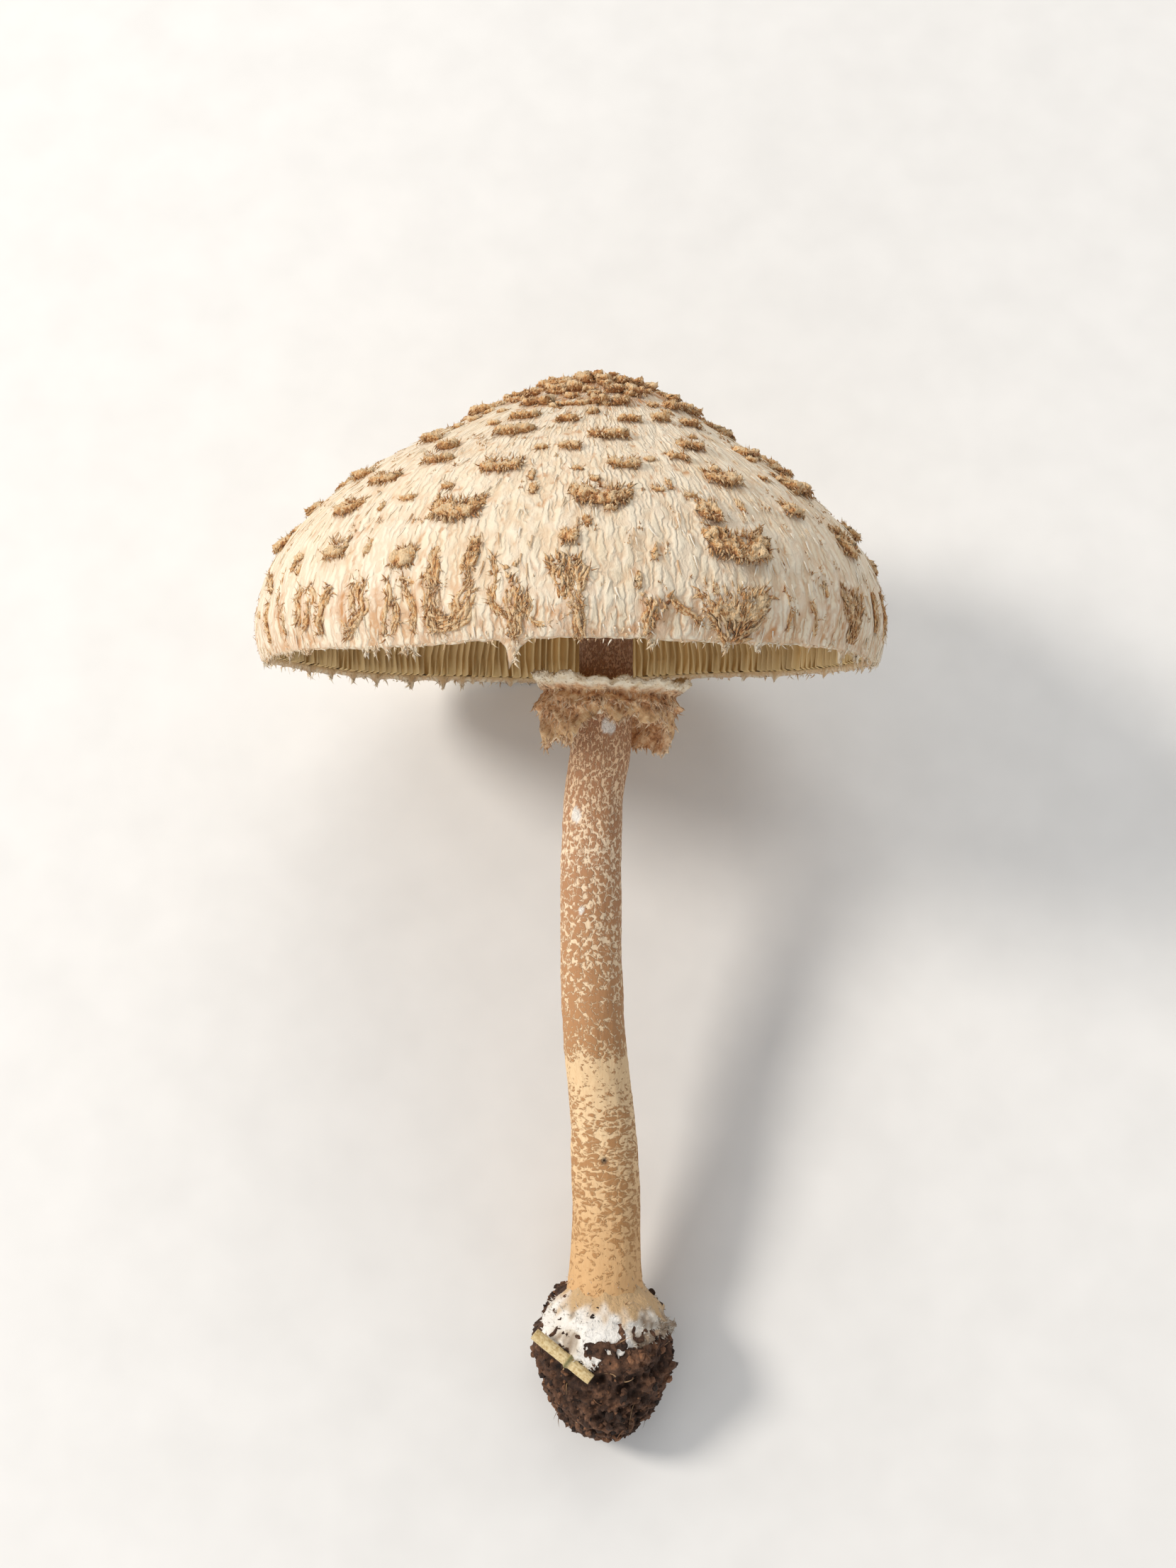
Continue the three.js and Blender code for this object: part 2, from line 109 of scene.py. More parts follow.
# The scales on the looked-at side: azimuth, way down from the boss, width, length.
SCALES_IN_VIEW = [
    (-21, 78, 12.5, 6.5), (-15, 64, 10, 4.5), (-18, 47, 9.5, 3.5), (6, 75, 13.5, 6),
    (10, 50, 9.5, 4), (12, 63, 7, 4), (34, 67, 9.5, 5), (26, 78, 5.5, 6.5), (30, 87, 16, 8),
    (33, 53, 7, 3.5), (61, 65, 11, 6), (48, 75, 6, 4.5), (62, 82, 7, 8), (-49, 74, 9, 4.5),
    (-45, 65, 9.5, 4), (-33, 59, 8, 3), (-45, 86, 7, 5), (-29, 89, 6, 5), (-77, 80, 8, 5),
    (-77, 69, 6, 4), (-60, 60, 7, 3.5), (-3, 41, 5.5, 3), (-20, 38, 7, 3), (18, 40, 5.5, 3),
    (31, 38, 4.5, 3), (44, 39, 5.5, 3), (-35, 52, 5, 3), (-50, 46, 6, 3), (0, 56, 5, 2.5),
    (26, 59, 5, 3), (57, 52, 8, 3.5), (69, 57, 8, 4), (79, 76, 7, 5), (0, 86, 4, 4),
    (57, 98, 9, 10), (28, 100, 17, 10), (1, 98, 6, 13), (-9, 100, 4, 9), (14, 101, 4, 9),
    (-18, 96, 4, 12), (-25, 97, 4, 12), (-33, 99, 5, 11), (-41, 98, 5, 11), (-50, 98, 5, 11),
    (-60, 97, 6, 11), (-71, 97, 6, 11), (73, 96, 6, 9),
]
# Only here: the ropes of felt above the rim on the looked-at side, as width and a line of azimuth
# and way down.
ROPES_IN_VIEW = [
    (1.6, [(-72.5, 88.5), (-68, 91.5), (-65, 94)]),
    (1.4, [(-66, 96), (-67, 100), (-65.5, 105)]),
    (1.2, [(-61, 88.5), (-60.5, 91.5), (-61, 94.5), (-60.5, 97)]),
    (1.3, [(-58, 97), (-58.5, 100), (-57.5, 104)]),
    (1.1, [(-55.5, 88.5), (-55, 91)]),
    (1.5, [(-52.5, 94), (-53.5, 97), (-52.5, 99.5), (-53.5, 102)]),
    (1.6, [(-50, 94), (-49, 97), (-49.5, 100.5), (-51, 103.5)]),
    (2.2, [(-43.5, 94.5), (-45, 97), (-46, 99.5), (-47, 102), (-46.5, 104.5)]),
    (0.9, [(-41.5, 99), (-40.5, 101.5), (-40, 104)]),
    (1.4, [(-38.5, 93.5), (-38.5, 96.5), (-38, 99.5), (-39, 101.5)]),
    (1.8, [(-36, 94), (-36, 97), (-36.5, 100), (-38.5, 103), (-40.5, 105.5)]),
    (1.4, [(-31, 94), (-31, 97), (-31.5, 100), (-32, 102.5), (-32, 105)]),
    (1.0, [(-30, 97.5), (-29.5, 100.5), (-29.5, 102.5), (-30.5, 104.5), (-32, 106)]),
    (1.1, [(-28, 95), (-27, 97.5), (-26, 101), (-26.5, 103.5), (-26, 105.5)]),
    (2.0, [(-23, 90), (-22.5, 93), (-22, 96)]),
    (1.3, [(-24, 95.5), (-23.5, 98.5), (-23.5, 101.5), (-23, 103.5), (-22, 105)]),
    (1.5, [(-22, 96), (-22.5, 98.5), (-22.5, 101), (-21.5, 102.5), (-19.5, 102.5), (-18, 100.5),
           (-17.5, 98), (-16.5, 95), (-16.5, 92)]),
    (1.8, [(-16.5, 89), (-16.5, 91.5), (-16.5, 93.5)]),
    (1.4, [(-23, 101.5), (-22.5, 104), (-20.5, 104.8), (-18.5, 103.8), (-16.5, 101), (-16, 98),
           (-15.5, 96.5)]),
    (0.8, [(-12.5, 90), (-12, 94), (-12, 98.5), (-11.5, 101), (-9.5, 103.5)]),
    (0.7, [(-13, 97.5), (-12.5, 100), (-11, 102.5)]),
    (0.7, [(-30.5, 92.5), (-28.5, 94), (-26, 95), (-24, 93.5), (-23.5, 92.5)]),
    (1.6, [(-9.6, 97), (-9.3, 100.5), (-9.2, 103.5), (-9.4, 107)]),
    (1.5, [(-8.6, 96.5), (-8.4, 100), (-8.6, 103.5), (-9, 108)]),
    (1.3, [(-7.4, 98), (-7.4, 101), (-8, 104), (-8.8, 107)]),
    (1.5, [(-3.2, 91.5), (-1.8, 95), (-0.2, 98.5), (0.8, 102)]),
    (1.6, [(-0.6, 91), (-0.2, 95), (0.4, 99), (1.2, 104), (1.6, 108)]),
    (1.6, [(1.4, 91.5), (1.2, 95), (0.9, 99), (1.4, 103)]),
    (1.4, [(3.4, 93), (2.4, 96), (1.5, 99), (1.7, 102)]),
    (1.5, [(13, 99), (13, 102), (12.5, 104.5), (12, 107)]),
    (1.0, [(16.5, 98.5), (18, 101), (20.5, 102.5), (22, 104.5)]),
    (0.7, [(-6.5, 98), (-6, 100.5), (-6.5, 103), (-5, 104.5), (-3, 104.5), (-0.5, 103)]),
    (0.8, [(38, 96), (39, 100), (38.5, 105)]),
    (0.8, [(44, 98), (45, 102), (45.5, 106)]),
    (1.2, [(68, 93), (69, 97), (68.5, 102)]),
    (1.3, [(76, 92), (77, 97), (76, 103)]),
]

# Only here: fans of felt above the rim, as azimuth, way down, spread in degrees, reach and count.
FANS_IN_VIEW = [
    (28, 107, 62, 10, 270), (57, 105, 32, 10, 130), (14, 105, 24, 7, 36), (-9, 98, 20, 6, 22),
    (-1, 99, 22, 9, 70),
]

# Only here: the longest teeth of the rim's torn veil, as azimuth, length and width at the root.
TEETH = [
    (-75, 2.4, 2.6), (-59.8, 2.2, 2.4), (-52.5, 1.6, 2), (-37.2, 2.4, 2), (-35.2, 2.8, 1.8),
    (-32.5, 2.9, 1.8), (-28.8, 3, 1.8), (-27.2, 3.1, 1.6), (-9, 7.1, 3), (13.8, 1.9, 2),
    (27, 2.9, 2.4), (33.5, 3.3, 2.4), (56, 4.1, 3), (62, 2.2, 2.2), (67.8, 3.4, 2.6),
    (75, 3, 2.6), (-114, 2.4, 2.4), (-121.5, 2.3, 2.2), (-128, 2.3, 2.2), (-134.5, 3.1, 2.6),
    (-143, 3.5, 2.8), (-151, 3.5, 2.6), (-155.5, 2.4, 2.2),
]

# Degrees: where the looked-at side ends, the middle of the far side, and how far to each side of
# that the rim lies on the table.
VIEW_EDGE = 82
BEHIND = 180
PRESSED_HALF = 22
# Rows of scales on the boss, as way down and count, and on the far side, as way down and distance.
BOSS_ROWS = ((4, 3), (12, 7), (20, 9), (28, 11))
FAR_ROWS = ((37, 17), (48, 19), (59, 21), (71, 23), (83, 25), (97, 20))
SEED_STEP = 10  # from scale to scale, so that no two share a draw
# Ways down: where the crowded boss ends, and where the ragged strip above the rim starts.
BOSS_END = 34
RIM_STRIP = 90
RIM_RADIUS = 73
ROPE_RADIUS = 72.0  # of the cap where its ropes and fans of felt lie
ROPE_STEP = 0.75  # from ring to ring along a rope
FLAKE_CELL = 0.47  # side of a flake's faces

# Only here: small flecks and streaks between the scales, as azimuth, way down, width, length.
FLECKS_IN_VIEW = [
    (-6, 30, 8, 2.5), (11, 30, 4, 2), (-7, 56, 3, 2.5), (20, 70, 1.6, 4.5), (-7, 72, 1.8, 5),
    (-25, 70, 3, 3), (-33, 73, 4.5, 2.5), (5, 69, 2.4, 3), (3, 82, 1.6, 4), (40, 75, 2.5, 2),
    (34, 76, 1.4, 5), (48, 91, 2.5, 2), (-37, 86, 2.2, 5), (-23, 91, 2.4, 8), (-16, 89, 2.6, 10),
]

# White places on the stem where its skin is torn off: sideways place, height, width, length.
BARE_SPOTS = [(2.7, 165.7, 3, 3.8), (-4.8, 145.2, 2.2, 3.8), (-3.6, 123, 1.2, 2)]
# The hole is painted near black as the shade in it.
PIT = (1.8, 65, 1.4)  # a small dark hole in the stem: sideways place, height, width
# How much of the stem is brown, by height, with the width and height of its patches there.
STEM_COVER = [
    (10, 0.1, 1.2, 1.2), (34, 0.12, 1.2, 1.2), (42, 0.26, 1.3, 1.2), (50, 0.46, 1.6, 1.15),
    (60, 0.56, 1.8, 1.1), (68, 0.52, 1.9, 1.1), (75, 0.46, 1.8, 1.0), (79, 0.4, 1.6, 0.95),
    (81.5, 0.32, 1.3, 0.9), (83.5, 0.18, 1.1, 0.9), (86.5, 0.12, 1.0, 0.9),
    (88.5, 0.22, 0.95, 0.95), (90, 0.72, 1.0, 1.05), (105, 0.68, 1.05, 1.15),
    (122, 0.63, 1.15, 1.25), (136, 0.61, 1.05, 1.3), (148, 0.6, 0.8, 1.25),
    (160, 0.6, 0.62, 1.1), (170, 0.58, 0.6, 0.95), (240, 0.56, 0.8, 0.9),
]

# Only here: the largest lumps of the soil, as azimuth in radians, height and size.
SOIL_LUMPS = [
    (0.47, 20.4, 2.6), (0.1, 19.6, 1.5), (-0.9, 11, 1.6), (1.2, 13.5, 1.8), (-0.35, 8.5, 1.4),
    (2.2, 17, 2.2), (3.4, 22, 2), (-1.9, 19, 2.2),
]
# A small near-black lump of the soil's darkest colour at the felt's edge.
DARK_LUMP = (-0.24, 29.6, 1.0)  # caught in the felt: azimuth in radians, height and size


def smooth(low, high, x):
    """0 below low, 1 above high, and a soft step between."""
    t = np.clip((x - low) / (high - low), 0, 1)
    return t * t * (3 - 2 * t)


def draw(n):
    """The part's draw from 0 to 1, the same every time for the same number."""
    wave = np.sin(np.asarray(n, float) * 12.9898 + 4.1414) * 43758.5453
    return wave - np.floor(wave)


# Primes and shifts that scatter a cell's place into a number that looks drawn at random.
CELL_PRIMES = (73856093, 19349663, 83492791)
SCATTERS = ((13, 1274126177), (16, 668265263))
LARGEST = 0x7FFFFFFF


def noise(points, size, seed=0):
    """Soft noise from -1 to 1 over points, with lumps of that size. size may differ by axis."""
    places = np.asarray(points, float) / size + 31.7 * seed
    cell = np.floor(places).astype(np.int64)
    part = places - cell
    part = part * part * (3 - 2 * part)
    total = np.zeros(places.shape[:-1])
    for corner in product((0, 1), repeat=3):
        a, b, c = (((cell + corner) * CELL_PRIMES)[..., k] for k in range(3))
        mixed = a ^ b ^ c
        for shift, factor in SCATTERS:
            mixed = (mixed ^ mixed >> shift) * factor & LARGEST
        weight = np.where(corner, part, 1 - part).prod(axis=-1)
        total += weight * (mixed / (LARGEST >> 1) - 1)
    return total


def rough(points, size, seed=0, octaves=3):
    """Noise with finer noise on it, from about -1 to 1."""
    size = np.asarray(size, float)
    return sum(noise(points, size / 2**k, seed + k) / 2**k for k in range(octaves)) / 1.5


def through(rows, x, column=1):
    """A smooth value at x through rows of (x, value, ...), the part's own curve."""
    table = np.array(rows, float)
    at, value = table[:, 0], table[:, column]
    last = len(at) - 1
    ends = [(max(k - 1, 0), min(k + 1, last)) for k in range(last + 1)]
    slope = np.array([(value[b] - value[a]) / (at[b] - at[a]) for a, b in ends])
    i = np.clip(np.searchsorted(at, x, side="right") - 1, 0, last - 1)
    width = at[i + 1] - at[i]
    t = np.clip((x - at[i]) / width, 0, 1)
    rise = slope[i] * width * t * (1 - t) ** 2 - slope[i + 1] * width * t * t * (1 - t)
    return value[i] * (1 + 2 * t) * (1 - t) ** 2 + value[i + 1] * t * t * (3 - 2 * t) + rise


def catmull_rom(rows, samples, closed=False):
    """Points on a Catmull-Rom curve through rows, samples of them, evenly over the rows."""
    table = np.array(rows, float)
    count = len(table)
    t = np.linspace(0, count if closed else count - 1, samples, endpoint=not closed)
    k = np.minimum(np.floor(t).astype(int), count - (1 if closed else 2))
    w = (t - k)[:, None]
    if closed:
        before, here, after, later = (table[(k + s) % count] for s in (-1, 0, 1, 2))
    else:
        ends = [np.clip(k + s, 0, count - 1) for s in (-1, 0, 1, 2)]
        before, here, after, later = (table[e] for e in ends)
    v0, v1 = (after - before) / 2, (later - here) / 2
    cubic = 2 * here - 2 * after + v0 + v1
    square = 3 * after - 3 * here - 2 * v0 - v1
    return ((cubic * w + square) * w + v0) * w + here


SKIN_TABLE = catmull_rom(CAP_SKIN, 1201)
SKIN_STEPS = np.hypot(*np.diff(SKIN_TABLE, axis=0).T)
SKIN_WAY = np.concatenate([[0], np.cumsum(SKIN_STEPS)])
SKIN_LENGTH = SKIN_WAY[-1]
SKIN_SLOPE = np.gradient(SKIN_TABLE, SKIN_WAY, axis=0)

TILT = math.atan2(TABLE_AT_RIM[0] - TABLE_AT_SOIL[0], TABLE_AT_RIM[1] - TABLE_AT_SOIL[1])
TABLE_POINT = np.array([0, *TABLE_AT_SOIL], float)
TABLE_NORMAL = np.array([0, -math.cos(TILT), math.sin(TILT)])


def over_table(points):
    """Height above the table of points of the standing mushroom."""
    return (points - TABLE_POINT) @ TABLE_NORMAL


def laid_down(points):
    """Standing millimetres to metres on the table, with nothing under it."""
    points = np.asarray(points, float)
    x, y, z = points[..., 0], points[..., 1], points[..., 2]
    along_table = y * math.sin(TILT) + z * math.cos(TILT)
    height = np.maximum(over_table(points), 0)
    return np.stack([x + CENTRE[0], along_table + CENTRE[1], height], axis=-1) / 1000


def turned(azimuth, radius, z, x=0.0, y=0.0):
    """Points at a distance from an upright line through x, y."""
    azimuth, radius, z, x, y = np.broadcast_arrays(azimuth, radius, z, x, y)
    return np.stack([x + radius * np.sin(azimuth), y - radius * np.cos(azimuth), z], axis=-1)


def wrapped(azimuth, radius, z):
    """Places for noise that meets itself again round the mushroom."""
    places = np.broadcast_arrays(radius * np.cos(azimuth), radius * np.sin(azimuth), z)
    return np.stack(places, axis=-1)


def all_round(columns):
    """The azimuths of that many columns, as one row of a grid."""
    return (np.arange(columns) / columns * TURN)[None, :]


def turn_from(middle, azimuth):
    """How far azimuths lie from a middle one, half a turn each way at most."""
    return (azimuth - middle + math.pi) % TURN - math.pi


def unit(vectors, least=0.0):
    """Vectors of length 1. A least length keeps the shortest ones finite."""
    return vectors / (np.linalg.norm(vectors, axis=-1, keepdims=True) + least)


def cap_point(azimuth, way, depth=0.0):
    """Points of the cap: azimuth, way down from the boss, and depth under the bare skin."""
    azimuth, way, depth = np.broadcast_arrays(azimuth, way, depth)
    share = np.clip(way / SKIN_LENGTH, 0, 1)
    inside = np.clip(way, 0, SKIN_LENGTH)
    radius, z = (np.interp(inside, SKIN_WAY, SKIN_TABLE[:, k]) for k in (0, 1))
    out, rise = (np.interp(inside, SKIN_WAY, SKIN_SLOPE[:, k]) for k in (0, 1))
    past = way - inside
    x = CAP_BOSS_X - CAP_LEAN * smooth(0, 0.55, share)
    wave = share**4 * (0.7 * np.sin(3 * azimuth + 0.6) + 0.5 * np.sin(7 * azimuth + 2))
    centred = np.minimum(1, way / 3)

    def at(inward):
        across = radius + out * past + (rise * inward + 0.4 * wave) * centred
        return turned(azimuth, across, z + rise * past - out * inward + 0.5 * wave, x)

    under = np.maximum(0, -over_table(at(np.zeros_like(azimuth))))
    return at(depth) + under[..., None] * TABLE_NORMAL


def skin_radius(way):
    """Distance of the bare skin from the cap's middle line."""
    return np.interp(way, SKIN_WAY, SKIN_TABLE[:, 0])


def scale_radius(way):
    """The skin's radius round a scale, never so small that the scale winds round the boss."""
    return max(float(skin_radius(way)), 3.0)


def skin_frame(azimuth, way):
    """Points of the skin with their directions sideways, downhill and outwards."""
    step = 0.01
    point = cap_point(azimuth, way)
    side = unit(cap_point(azimuth + step, way) - point)
    down = unit(cap_point(azimuth, way + 1.0) - point)
    return point, side, down, np.cross(down, side)


def hex_colour(text):
    """A linear colour from its sRGB hex value."""
    parts = [int(text[k : k + 2], 16) / 255 for k in (1, 3, 5)]
    return [c / 12.92 if c <= 0.04045 else ((c + 0.055) / 1.055) ** 2.4 for c in parts]


def add_node(tree, kind, sockets=None, stops=None, output=None, **settings):
    """Adds a node, sets it up, and sets or links its sockets. A text is a hex colour. Returns the
    output of that name, or else the first one in use."""
    node = tree.nodes.new("ShaderNode" + kind)
    for key, value in settings.items():
        setattr(node, key, value)
    if stops:
        ramp = node.color_ramp
        while len(ramp.elements) < len(stops):
            ramp.elements.new(1.0)
        for element, (place, colour) in zip(ramp.elements, stops):
            element.position = place
            element.color = (*hex_colour(colour), 1)
    for key, value in (sockets or {}).items():
        if isinstance(value, bpy.types.NodeSocket):
            tree.links.new(value, node.inputs[key])
        elif isinstance(value, str):
            node.inputs[key].default_value = (*hex_colour(value), 1)
        else:
            node.inputs[key].default_value = value
    if output:
        return node.outputs[output]
    return next(socket for socket in node.outputs if socket.enabled)


def new_material(name, roughness, **constants):
    """A material with a Principled shader, its constants set on the shader's own sockets."""
    material = bpy.data.materials.new(name)
    material.use_nodes = True
    shader = material.node_tree.nodes["Principled BSDF"]
    shader.inputs["Roughness"].default_value = roughness
    for key, value in constants.items():
        shader.inputs[key.replace("_", " ").title()].default_value = value
    return material, material.node_tree, shader


def finish_surface(tree, shader, colour, height=None, distance=0.0):
    """Links a colour to the shader, and a height, if there is one, to its normal through a bump of
    that many metres."""
    tree.links.new(colour, shader.inputs["Base Color"])
    if height:
        bump = add_node(tree, "Bump", {"Height": height, "Distance": distance, "Strength": 1.0})
        tree.links.new(bump, shader.inputs["Normal"])


def keep_piece(piece, node, material):
    """Gives a finished piece its material and its place in the frame."""
    piece.data.materials.clear()
    piece.data.materials.append(material)
    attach(piece, "root")
    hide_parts(node)


def set_values(mesh, values):
    """Keeps arrays of values as attributes of the mesh's points, for its material."""
    for name, value in values.items():
        value = np.asarray(value, np.float32)
        is_vector = value.ndim == 2
        kind = "FLOAT_VECTOR" if is_vector else "FLOAT"
        attribute = mesh.attributes.new(name, kind, "POINT")
        attribute.data.foreach_set("vector" if is_vector else "value", value.ravel())


def lathed(name, points, values):
    """A closed body over a grid of standing points: rows that run up its outside, columns that go
    round it, and whose first and last row are single points or the same row."""
    rows, columns, _ = points.shape
    bpy.ops.object.select_all(action="DESELECT")
    bpy.ops.mesh.primitive_grid_add(x_subdivisions=columns, y_subdivisions=rows - 1, size=1)
    piece = bpy.context.object
    piece.name = piece.data.name = name
    round_again = np.concatenate([points, points[:, :1]], axis=1)
    places = laid_down(round_again).reshape(-1, 3)
    piece.data.vertices.foreach_set("co", places.astype(np.float32).ravel())
    kept = {}
    for key, value in values.items():
        value = np.broadcast_to(value, points.shape[: np.ndim(value)])
        kept[key] = np.concatenate([value, value[:, :1]], axis=1)
        kept[key] = kept[key].reshape(-1, *value.shape[2:])
    set_values(piece.data, kept)
    bpy.ops.object.mode_set(mode="EDIT")
    bpy.ops.mesh.select_all(action="SELECT")
    bpy.ops.mesh.remove_doubles(threshold=1e-6)
    bpy.ops.mesh.dissolve_degenerate(threshold=1e-7)
    bpy.ops.object.mode_set(mode="OBJECT")
    bpy.ops.object.shade_smooth()
    return piece


def from_arrays(name, points, triangles, values, smooth_shading=True):
    """A piece from standing points and triangles."""
    mesh = bpy.data.meshes.new(name)
    mesh.from_pydata(laid_down(points).tolist(), [], triangles.tolist())
    set_values(mesh, values)
    mesh.polygons.foreach_set("use_smooth", [smooth_shading] * len(mesh.polygons))
    mesh.update()
    piece = bpy.data.objects.new(name, mesh)
    bpy.context.scene.collection.objects.link(piece)
    return piece


def strands(
    roots, ways, outs, lengths, widths, curl, sway, sides=3, steps=2, flat=1.0, blunt=1.0
):
    """Tapered strands. curl lifts their tips outwards and sway bends them sideways, as shares of
    their length. blunt over 1 keeps them thick for longer. Returns points, triangles, each point's
    share of the way to the tip, and how many points a strand has."""
    count = len(roots)
    across = np.cross(ways, outs)
    lengths, widths, curl, sway = (
        np.broadcast_to(value, count)[:, None] for value in (lengths, widths, curl, sway)
    )
    rings = []
    for step in range(steps + 1):
        t = step / steps
        centre = roots + lengths * (ways * t + (outs * curl + across * sway) * t**2)
        half = widths / 2 * (1 - t**blunt)
        for k in range(sides if step < steps else 1):
            turn = k / sides * TURN
            rings.append(centre + half * (across * math.cos(turn) + outs * math.sin(turn) * flat))
    faces = [(0, k, k + 1) for k in range(1, sides - 1)]
    for step in range(steps):
        for k in range(sides):
            a, b = sides * step + k, sides * step + (k + 1) % sides
            if step == steps - 1:
                faces.append((a, sides * steps, b))
            else:
                faces.extend([(a, a + sides, b + sides), (a, b + sides, b)])
    points = np.stack(rings, axis=1)
    each = points.shape[1]
    triangles = np.array(faces)[None] + (np.arange(count) * each)[:, None, None]
    share = np.array([min(k // sides, steps) / steps for k in range(each)])
    return points.reshape(-1, 3), triangles.reshape(-1, 3), np.tile(share, count), each


def aimed(ways, out):
    """Unit ways, and the outward directions square to them."""
    ways = unit(ways)
    return ways, unit(np.cross(np.cross(ways, out), ways), least=1e-9)


def tube_faces(rings, sides):
    """Triangles of a tube of rings whose two ends close on the two points after the last ring."""
    here = np.arange(sides)
    turned_on = (here + 1) % sides
    starts = np.arange(rings - 1)[:, None] * sides
    a, b = (starts + here).ravel(), (starts + turned_on).ravel()
    first, last = rings * sides + 0 * here, (rings - 1) * sides
    corners = [
        (a, a + sides, b + sides),
        (a, b + sides, b),
        (first, here, turned_on),
        (first + 1, last + turned_on, last + here),
    ]
    return np.concatenate([np.stack(ring, axis=-1) for ring in corners])


def rope(width, line, rng, threads=5):
    """A rope of felt along a line of azimuth and way down: several threads that part and meet
    again, and what strands() needs, but sway, for the fingers that stand off them."""
    table = np.array(line, float)
    table[:, 0] = np.radians(table[:, 0])
    reach = np.hypot(*(np.diff(table, axis=0) * np.array([ROPE_RADIUS, 1.0])).T).sum()
    count = max(6, round(reach / ROPE_STEP))
    along = catmull_rom(table, count)
    seed = rng.integers(1, 9999)
    step = np.arange(count) * ROPE_STEP
    step = np.stack([step, np.full(count, seed), np.zeros(count)], axis=-1)
    along[:, 0] += 0.5 * noise(step, 2.5, 1) / ROPE_RADIUS
    point, _, _, out = skin_frame(along[:, 0], along[:, 1])
    tangent = unit(np.gradient(point, axis=0))
    across = np.cross(tangent, out)
    t = np.linspace(0, 1, count)
    sides = 5
    angle = all_round(sides)
    faces = tube_faces(count, sides)
    parts = []
    for k in range(threads):
        beside = width * 0.22 * (k - (threads - 1) / 2)
        sway = width * 0.55 * noise(step, (1.8, 1, 1), 20 + k) + beside
        over = width * (0.12 + 0.3 * noise(step, (1.5, 1, 1), 40 + k) + 0.12 * (k % 2))
        shift, taper = rng.uniform(0, 0.18), rng.uniform(0.1, 0.4)
        ended = np.clip((t - shift) / 0.12, 0.1, 1) * np.clip((1 - t) / taper, 0.1, 1)
        size = (0.12 + 0.2 * width) * ended**0.6 * (1 + 0.35 * noise(step, 1.1, 60 + k))
        centre = point + across * sway[:, None] + out * over[:, None]
        ring = np.stack(np.broadcast_arrays(step[:, :1], angle, seed + 3.3 * k), axis=-1)
        lumpy = size[:, None] * (1 + 0.35 * noise(ring, (0.8, 1, 1), 3))
        body = centre[:, None] + (lumpy * np.cos(angle))[..., None] * across[:, None]
        body = body + (0.85 * lumpy * np.sin(angle))[..., None] * out[:, None]
        points = np.concatenate([body.reshape(-1, 3), centre[[0, -1]]])
        # Lighter on the top of each thread and darker beneath it: painted light and shade, over a
        # random tone.
        shade = 0.22 + 0.45 * noise(ring, (0.9, 1, 1), 3) + 0.25 * np.sin(angle)
        shade = np.clip(shade + rng.uniform(-0.1, 0.2), 0, 1)
        shade = np.concatenate([shade.ravel(), [0.3, 0.3]])
        parts.append((points, faces, {"shade": shade}))

    loose = int(2.6 * reach * width**0.5)
    at = rng.integers(0, count, loose)
    turn = rng.normal(0, 0.8, loose)[:, None]
    ways = tangent[at] * rng.choice([-0.7, 1.0], loose)[:, None] + across[at] * turn
    ways, outs = aimed(ways + out[at] * rng.uniform(0.0, 0.45, loose)[:, None], out[at])
    roots = point[at] + out[at] * 0.35 * width + across[at] * turn * 0.35 * width
    long = rng.uniform(0.7, 2.0, loose)
    wide = rng.uniform(0.25, 0.5, loose)
    return joined(parts), (roots, ways, outs, long, wide, rng.uniform(-0.1, 0.4, loose))


def joined(parts):
    """Several (points, triangles, values) as one."""
    points, triangles, values, start = [], [], {}, 0
    for some_points, some_triangles, some_values in parts:
        points.append(some_points)
        triangles.append(some_triangles + start)
        start += len(some_points)
        for key, value in some_values.items():
            values.setdefault(key, []).append(value)
    kept = {key: np.concatenate(value) for key, value in values.items()}
    return np.concatenate(points), np.concatenate(triangles), kept


def scales():
    """The part's scales, by the same rule: azimuth, way down, width, length."""
    yield from SCALES_IN_VIEW
    seed = 1 + SEED_STEP * len(SCALES_IN_VIEW)
    for way, count in BOSS_ROWS:
        for k in range(count):
            azimuth = (k + 0.6 * draw(seed)) / count * 360 + way * 7
            length = 3.4 + 1.2 * draw(seed + 1)
            width = 6 + 2.5 * draw(seed + 2)
            yield azimuth, way, width, length
            seed += SEED_STEP
    for way, apart in FAR_ROWS:
        radius = skin_radius(way)
        span = 360 - 2 * VIEW_EDGE
        count = round(math.radians(span) * radius / apart)
        for k in range(count):
            azimuth = VIEW_EDGE + (k + 0.2 + 0.6 * draw(seed)) / count * span
            down = way + 5 * (draw(seed + 1) - 0.5)
            size = 0.6 + 0.8 * draw(seed + 2)
            near_rim = way > RIM_STRIP
            width = (5 if near_rim else 8.5) * size
            length = 9 + 3 * draw(seed + 3) if near_rim else 2.6 + 3 * size
            if not (near_rim and abs(azimuth - BEHIND) < PRESSED_HALF):
                yield azimuth, down, width, length
            seed += SEED_STEP


def is_rope(way, width, length):
    """Whether a scale of the part stands for ropes of felt above the rim."""
    return way > RIM_STRIP and length > width * 1.15


def small_scales(rng):
    """Scales that only the scene has: the crowded boss, and flecks among the larger scales."""
    yield from FLECKS_IN_VIEW
    on_boss, elsewhere = 150, 330
    for k in range(on_boss):
        way = 1.5 + 37 * (k / on_boss) ** 0.7
        azimuth = k * GOLDEN_ANGLE + rng.uniform(-20, 20)
        size = rng.uniform(0.6, 1.35) * (1.1 - 0.4 * k / on_boss)
        yield azimuth, way, 3.1 * size, 3.4 * size
    for _ in range(elsewhere):
        way = BOSS_END + 66 * rng.random() ** 0.8
        size = rng.uniform(0.5, 1.3)
        wide, tall = (1.2, 3.6) if rng.random() < 0.5 else (2.6, 1.8)
        yield rng.uniform(-180, 180), way, size * wide, size * tall


